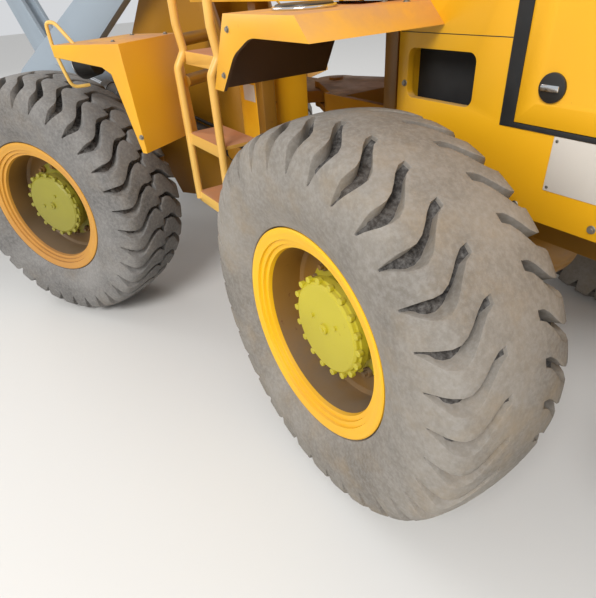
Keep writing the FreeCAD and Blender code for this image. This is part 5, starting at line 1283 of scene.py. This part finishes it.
@dataclass
class CabInterior:
    """Seat with its cushions, armrests and stand, levers, pedals and floor mat."""

    shop: Shop

    def build(self) -> None:
        """Furnish the cab."""
        self.make_seat()
        self.make_stand()
        self.make_controls()

    def make_seat(self) -> None:
        """Padded seat and back, with piping round their edges."""
        base = Cushion((-0.815, -0.225, 1.915), (-0.445, 0.225, 2.0)).make()
        base = self.shop.fit(base, "seat_cushion", "rear_frame", Finish.VINYL, "seat_vinyl", REAR, ("operator_seat",))
        back = Cushion((-0.905, -0.215, 2.02), (-0.835, 0.215, 2.54)).make()
        back = self.shop.fit(back, "seat_back_cushion", "rear_frame", Finish.VINYL, "seat_vinyl", REAR)
        piping = Batch(self.shop, "seat_piping", "rear_frame", Finish.SEAL, "seat_vinyl")
        piping.add(pipe([(-0.80, 0.235, 1.957), (-0.437, 0.235, 1.957), (-0.437, -0.235, 1.957), (-0.80, -0.235, 1.957)], 0.004, 0.05),
                   pipe([(-0.87, 0.222, 2.04), (-0.87, 0.222, 2.553), (-0.87, -0.222, 2.553), (-0.87, -0.222, 2.04)], 0.004, 0.05))
        piping.close()

    def make_stand(self) -> None:
        """Pan, bellows, rails, back shell and armrests."""
        stand = Batch(self.shop, "seat_stand", "rear_frame", Finish.PLASTIC, "black_plastic")
        for step in range(5):
            low = 1.635 + 0.045 * step
            stand.add(bar((-0.84, -0.17, low), (-0.50, 0.17, low + 0.036), 0.014))
        stand.add(bar((-0.82, -0.15, 1.62), (-0.52, 0.15, 1.87), 0.006),
                  bar((-0.86, -0.22, 1.865), (-0.44, 0.22, 1.905), 0.012),
                  bar((-0.926, -0.20, 1.90), (-0.912, 0.20, 2.50), 0.006))
        for y in (-0.2, 0.2):
            stand.add(bar((-0.90, y - 0.02, 1.60), (-0.46, y + 0.02, 1.63), 0.004))
        stand.add(*both_sides(bar((-0.80, 0.24, 2.17), (-0.50, 0.29, 2.205), 0.014)),
                  *both_sides(pipe([(-0.88, 0.20, 2.15), (-0.82, 0.265, 2.18), (-0.70, 0.265, 2.18)], 0.012)))
        stand.close()

    def make_controls(self) -> None:
        """Side console with its levers, pedals and a rubber mat."""
        console = Batch(self.shop, "side_console", "rear_frame", Finish.PLASTIC, "black_plastic")
        console.add(bar((-0.85, -0.50, 1.60), (-0.30, -0.34, 2.02), 0.02),
                    bar((-0.36, -0.50, 1.95), (-0.24, -0.34, 2.06), 0.015))
        for x in (-0.42, -0.34):
            console.add(puck((x, -0.42, 2.02), (x, -0.42, 2.055), 0.022, 0.006),
                        pipe([(x, -0.42, 2.04), (x + 0.03, -0.42, 2.20)], 0.006),
                        puck((x + 0.028, -0.42, 2.19), (x + 0.036, -0.42, 2.235), 0.017, 0.007))
        for y in (-0.14, 0.14):
            console.add(bar((-0.06, y - 0.04, 1.66), (-0.045, y + 0.04, 1.76), 0.004),
                        pipe([(-0.045, y, 1.71), (0.01, y, 1.66), (0.03, y, 1.60)], 0.008))
        console.close()
        mat = Batch(self.shop, "floor_mat", "rear_frame", Finish.SEAL, "black_plastic")
        mat.add(bar((-1.0, -0.64, 1.588), (0.02, 0.64, 1.596), 0.003))
        for step in range(20):
            y = -0.57 + 0.06 * step
            mat.add(bar((-0.40, y - 0.006, 1.594), (-0.02, y + 0.006, 1.599), 0.0015))
        mat.close()


@dataclass
class RoofHighFittings:
    """Clamps, rain cap and guards on the exhaust and the precleaner."""

    shop: Shop

    def build(self) -> None:
        """Make the rings and caps."""
        rings = Batch(self.shop, "exhaust_rings", "rear_frame", Finish.STEEL, "worn_steel")
        for z, radius in ((1.95, 0.097), (2.14, 0.097), (2.33, 0.097), (2.37, 0.046), (2.56, 0.045)):
            rings.add(hoop((-1.9, -0.3, z), radius, 0.005))
        rings.add(puck((-1.9, -0.3, 2.352), (-1.9, -0.3, 2.362), 0.07, 0.003))
        cap = puck((-1.9, -0.3, 2.624), (-1.9, -0.3, 2.63), 0.052, 0.002)
        cap.data.transform(Matrix.Translation((-1.952, -0.3, 2.624)) @ Matrix.Rotation(math.radians(-22), 4, "Y")
                           @ Matrix.Translation((1.952, 0.3, -2.624)))
        rings.add(cap, bar((-1.962, -0.312, 2.60), (-1.942, -0.288, 2.632), 0.004))
        rings.close()
        shield = Batch(self.shop, "muffler_guard", "rear_frame", Finish.BLACK, "black_paint")
        for step in range(9):
            angle = math.radians(100 + 20 * step)
            x, y = -1.9 + 0.108 * math.cos(angle), -0.3 - 0.108 * math.sin(angle)
            shield.add(pipe([(x, y, 1.96), (x, y, 2.32)], 0.004, sides=8))
        shield.close()
        cleaner = Batch(self.shop, "precleaner_bands", "rear_frame", Finish.BOLT, "worn_steel")
        for z, radius in ((1.93, 0.061), (2.055, 0.109), (2.175, 0.109)):
            cleaner.add(hoop((-1.48, 0.26, z), radius, 0.004))
        cleaner.add(puck((-1.48, 0.26, 2.238), (-1.48, 0.26, 2.262), 0.018, 0.005))
        cleaner.close()


@dataclass
class RearFittings:
    """Guards, reflectors, eyes and caps on the counterweight, the tanks and the fenders."""

    shop: Shop

    def build(self) -> None:
        """Make the rear end's small parts."""
        guards = Batch(self.shop, "tail_lamp_guards", "rear_frame", Finish.BLACK, "black_paint")
        for z in (1.006, 1.055, 1.104):
            guards.pair(pipe([(-2.846, 0.555, z), (-2.892, 0.565, z), (-2.892, 0.725, z), (-2.846, 0.735, z)], 0.005, 0.02))
        guards.pair(bar((-2.853, 0.30, 1.03), (-2.848, 0.34, 1.07), 0.001))
        guards.pair(puck((-0.23, 0.60, 1.325), (-0.23, 0.60, 1.356), 0.042, 0.006, 20),
                    puck((-1.0, 0.87, 1.516), (-1.0, 0.87, 1.534), 0.085, 0.006, 36))
        guards.close()
        rings = Batch(self.shop, "lid_rings", "rear_frame", Finish.CHROME, "chrome")
        rings.pair(hoop((-1.0, 0.87, 1.524), 0.089, 0.005))
        rings.close()
        marks = Batch(self.shop, "reflectors", "rear_frame", Finish.RED_LENS, "lamp_lens")
        marks.pair(puck((-2.848, 0.40, 1.05), (-2.858, 0.40, 1.05), 0.032, 0.003))
        marks.close()
        eyes = Batch(self.shop, "weight_eyes", "rear_frame", Finish.WEIGHT, "weight_paint")
        eyes.pair(hoop((-2.60, 0.66, 1.20), 0.042, 0.012, (math.pi / 2, 0, 0)))
        eyes.close()
        bolts = Batch(self.shop, "rear_bolts", "rear_frame", Finish.BOLT, "worn_steel")
        for x in (-2.42, -2.56, -2.70):
            for z in (0.80, 1.05):
                bolts.pair(screw((x, 0.88, z), (0, 1, 0), 0.016))
        for x in (-0.90, -1.0, -1.1, -1.19):
            bolts.pair(screw((x, 0.66, 1.52), (0, 0, 1), 0.008))
        bolts.pair(screw((-0.80, 1.05, 1.35), (0, 1, 0), 0.007), screw((-0.86, 1.05, 1.48), (0, 1, 0), 0.007))
        bolts.close()


@dataclass
class EngineFittings:
    """Cover, manifold, fan, pump and filter on the engine block."""

    shop: Shop

    def build(self) -> None:
        """Make the parts that show when the hood's doors are open."""
        cast = Batch(self.shop, "engine_castings", "rear_frame", Finish.CAST, "cast_iron")
        for step in range(3):
            x = -2.20 + 0.20 * step
            cast.add(bar((x, -0.11, 1.598), (x + 0.17, 0.11, 1.675), 0.014),
                     puck((x + 0.085, 0.0, 1.67), (x + 0.085, 0.0, 1.69), 0.012, 0.003, 12),
                     pipe([(x + 0.085, 0.21, 1.45), (x + 0.085, 0.27, 1.45), (x + 0.085, 0.29, 1.50)], 0.022, 0.03))
        cast.add(pipe([(-2.2, 0.29, 1.50), (-1.68, 0.29, 1.50)], 0.032),
                 puck((-2.04, 0.225, 1.08), (-2.04, 0.345, 1.08), 0.055, 0.01),
                 puck((-1.78, -0.225, 1.15), (-1.78, -0.36, 1.15), 0.065, 0.01),
                 bar((-1.95, 0.215, 1.20), (-1.68, 0.30, 1.33), 0.012))
        cast.close()
        dark = Batch(self.shop, "engine_fan", "rear_frame", Finish.BLACK, "black_paint")
        dark.add(puck((-2.258, 0.0, 1.25), (-2.33, 0.0, 1.25), 0.075, 0.006),
                 puck((-2.258, 0.12, 1.0), (-2.30, 0.12, 1.0), 0.06, 0.006))
        for step in range(7):
            blade = bar((-2.345, -0.045, 1.31), (-2.337, 0.045, 1.50), 0.003)
            turn = Matrix.Rotation(2 * math.pi * step / 7, 4, "X")
            lean = Matrix.Rotation(math.radians(24), 4, "Z")
            blade.data.transform(Matrix.Translation((-2.33, 0, 1.25)) @ turn @ lean @ Matrix.Translation((2.33, 0, -1.25)))
            dark.add(blade)
        dark.close()


@dataclass
class FrontFittings:
    """Lamp glasses, guards, caps and pipes of the front frame and the arm, and the bolts of the cutting edge."""

    shop: Shop

    def build(self) -> None:
        """Make the front half's small parts."""
        self.glaze_lamps()
        self.cap_pins()
        self.dress_cylinders()
        self.dress_bucket()

    def glaze_lamps(self) -> None:
        """Headlamp lenses, their rims and the tube guards on the fenders."""
        lenses = Batch(self.shop, "headlamp_lenses", "front_frame", Finish.LENS, "lamp_lens", FRONT)
        lenses.pair(puck((0.934, 0.86, 1.325), (0.944, 0.86, 1.325), 0.066, 0.004))
        lenses.close()
        rims = Batch(self.shop, "headlamp_rims", "front_frame", Finish.CHROME, "chrome", FRONT)
        rims.pair(hoop((0.94, 0.86, 1.325), 0.070, 0.005, (0, math.pi / 2, 0)))
        rims.close()
        loops = Batch(self.shop, "fender_loops", "front_frame", Finish.RAIL, "yellow_paint", FRONT)
        loops.pair(pipe([(0.80, 1.02, 1.415), (0.88, 1.02, 1.50), (0.93, 1.02, 1.50), (0.93, 1.02, 1.40),
                         (0.90, 1.02, 1.30), (0.90, 1.0, 1.24), (0.86, 0.935, 1.24)], 0.008, 0.03))
        loops.close()
        bolts = Batch(self.shop, "front_fender_bolts", "front_frame", Finish.BOLT, "worn_steel", FRONT)
        for x in (0.53, 0.72):
            bolts.pair(screw((x, 0.74, 1.42), (0, 0, 1), 0.008))
        bolts.pair(screw((0.60, 1.0, 1.42), (0, 0, 1), 0.007), screw((0.49, 1.08, 1.06), (0, 1, 0), 0.008))
        bolts.close()

    def cap_pins(self) -> None:
        """Keeper plates, bolts and grease nipples on the arm's pins."""
        caps = Batch(self.shop, "arm_pin_caps", "lift_arm", Finish.STEEL, "worn_steel", FRONT)
        for x, z in ((0.75, 1.78), (2.686, 0.31)):
            caps.pair(puck((x, 0.487, z), (x, 0.498, z), 0.05, 0.004),
                      bar((x - 0.07, 0.490, z - 0.018), (x + 0.07, 0.500, z + 0.018), 0.003),
                      screw((x - 0.055, 0.50, z), (0, 1, 0), 0.008), screw((x + 0.055, 0.50, z), (0, 1, 0), 0.008),
                      puck((x, 0.498, z), (x, 0.512, z), 0.006, 0.002, 10))
        caps.close()

    def dress_cylinders(self) -> None:
        """Gland nuts and steel pipes on the lift and tilt barrels."""
        for name, base, run, length, side, radius in (
                ("lift_barrels", (0.45, 0.80), (0.9427, 0.3336), 0.93, 0.38, 0.052),
                ("tilt_barrel", (0.82, 1.905), (0.9873, -0.1590), 0.95, 0.0, 0.075)):
            nuts = Batch(self.shop, f"{name}_glands", name, Finish.BLACK, "black_paint", FRONT)

            def along(reach: float, out: float = 0.0, y: float = side) -> tuple[float, float, float]:
                return (base[0] + run[0] * reach - run[1] * out, y, base[1] + run[1] * reach + run[0] * out)

            made = [puck(along(length - 0.045), along(length + 0.004), radius + 0.006, 0.004),
                    puck(along(length - 0.12), along(length - 0.105), radius + 0.003, 0.003),
                    pipe([along(0.12, radius - 0.004), along(0.12, radius + 0.022), along(length - 0.08, radius + 0.022),
                          along(length - 0.08, radius - 0.004)], 0.009, 0.02)]
            if side:
                nuts.pair(*made)
            else:
                nuts.add(*made)
            nuts.close()

    def dress_bucket(self) -> None:
        """Bolts of the cutting edge."""
        bolts = Batch(self.shop, "edge_bolts", "bucket", Finish.BOLT, "worn_steel", FRONT)
        for step in range(9):
            bolts.add(puck((3.53, -1.12 + 0.28 * step, 0.088), (3.53, -1.12 + 0.28 * step, 0.096), 0.016, 0.003, 16))
        bolts.close()


# Studio

@dataclass
class Studio:
    """Pale floor, soft light and the camera at the photograph's place."""

    camera_place: tuple[float, float, float] = (-2.758, 0.809, 1.594)
    yaw: float = -30.86
    pitch: float = -33.55
    roll: float = -4.25
    focal_pixels: float = 488.0
    image_width: int = 596
    image_height: int = 598
    centre: tuple[float, float] = (294.0, 302.0)

    def build(self) -> None:
        """Make the floor, the lamps and the camera."""
        self.lay_floor()
        self.hang_lamps()
        self.set_camera()

    def lay_floor(self) -> None:
        """Pale plain floor, seen as near white by the camera."""
        rest_hands()
        bpy.ops.mesh.primitive_plane_add(size=60.0, location=(0, 0, -0.0005))
        floor = bpy.context.active_object
        floor.name = "studio_floor"
        bench = ShaderBench("studio_floor")
        bench.feed("Base Color", colour("DAD8D4"))
        bench.feed("Roughness", 0.9)
        floor.data.materials.append(bench.material)

    def hang_lamps(self) -> None:
        """A large key lamp from behind on the left, a fill and a pale world."""
        for name, place, size, power in (
                ("key", (-6.0, 6.5, 7.5), 4.0, 900.0),
                ("fill", (-7.0, -6.0, 5.0), 6.0, 260.0),
                ("front", (8.0, 4.0, 6.0), 6.0, 350.0)):
            lamp = bpy.data.lights.new(name, "AREA")
            lamp.size = size
            lamp.energy = power
            holder = bpy.data.objects.new(name, lamp)
            holder.location = place
            aim = Vector((-0.8, 0.2, 0.6)) - Vector(place)
            holder.rotation_euler = aim.to_track_quat("-Z", "Y").to_euler()
            bpy.context.scene.collection.objects.link(holder)
        world = bpy.data.worlds.new("studio")
        world.use_nodes = True
        world.node_tree.nodes["Background"].inputs[0].default_value = colour("F2F4F7")
        world.node_tree.nodes["Background"].inputs[1].default_value = 0.75
        bpy.context.scene.world = world

    def set_camera(self) -> None:
        """Camera with the photograph's place, direction and focal length."""
        yaw, pitch, roll = (math.radians(a) for a in (self.yaw, self.pitch, self.roll))
        ahead = Vector((math.cos(yaw) * math.cos(pitch), math.sin(yaw) * math.cos(pitch), math.sin(pitch)))
        right = ahead.cross(Vector((0, 0, 1))).normalized()
        up = right.cross(ahead)
        right_rolled = right * math.cos(roll) + up * math.sin(roll)
        up_rolled = up * math.cos(roll) - right * math.sin(roll)
        turn = Matrix((right_rolled, up_rolled, -ahead)).transposed().to_4x4()
        data = bpy.data.cameras.new("camera")
        longest = max(self.image_width, self.image_height)
        data.sensor_width = 36.0
        data.lens = self.focal_pixels * 36.0 / longest
        data.shift_x = (self.image_width / 2 - self.centre[0]) / longest
        data.shift_y = (self.centre[1] - self.image_height / 2) / longest
        data.clip_end = 200.0
        camera = bpy.data.objects.new("camera", data)
        camera.matrix_world = Matrix.Translation(self.camera_place) @ turn
        bpy.context.scene.collection.objects.link(camera)
        bpy.context.scene.camera = camera
        bpy.context.scene.view_settings.view_transform = "Standard"


def main() -> None:
    """Build every sub-assembly in order."""
    logging.basicConfig(level=logging.INFO, format="%(name)s %(message)s")
    random.seed(7)
    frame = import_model()
    rest_hands()
    shop = Shop(Paintbox(), frame)
    Studio().build()
    Wheels(shop).build()
    CarriedNodes(shop).build()
    for fittings in (HoodFittings, CabFittings, CabInterior, RoofHighFittings, RearFittings, EngineFittings,
                     FrontFittings):
        fittings(shop).build()
    rest_hands()


if __name__ == "__main__":
    main()
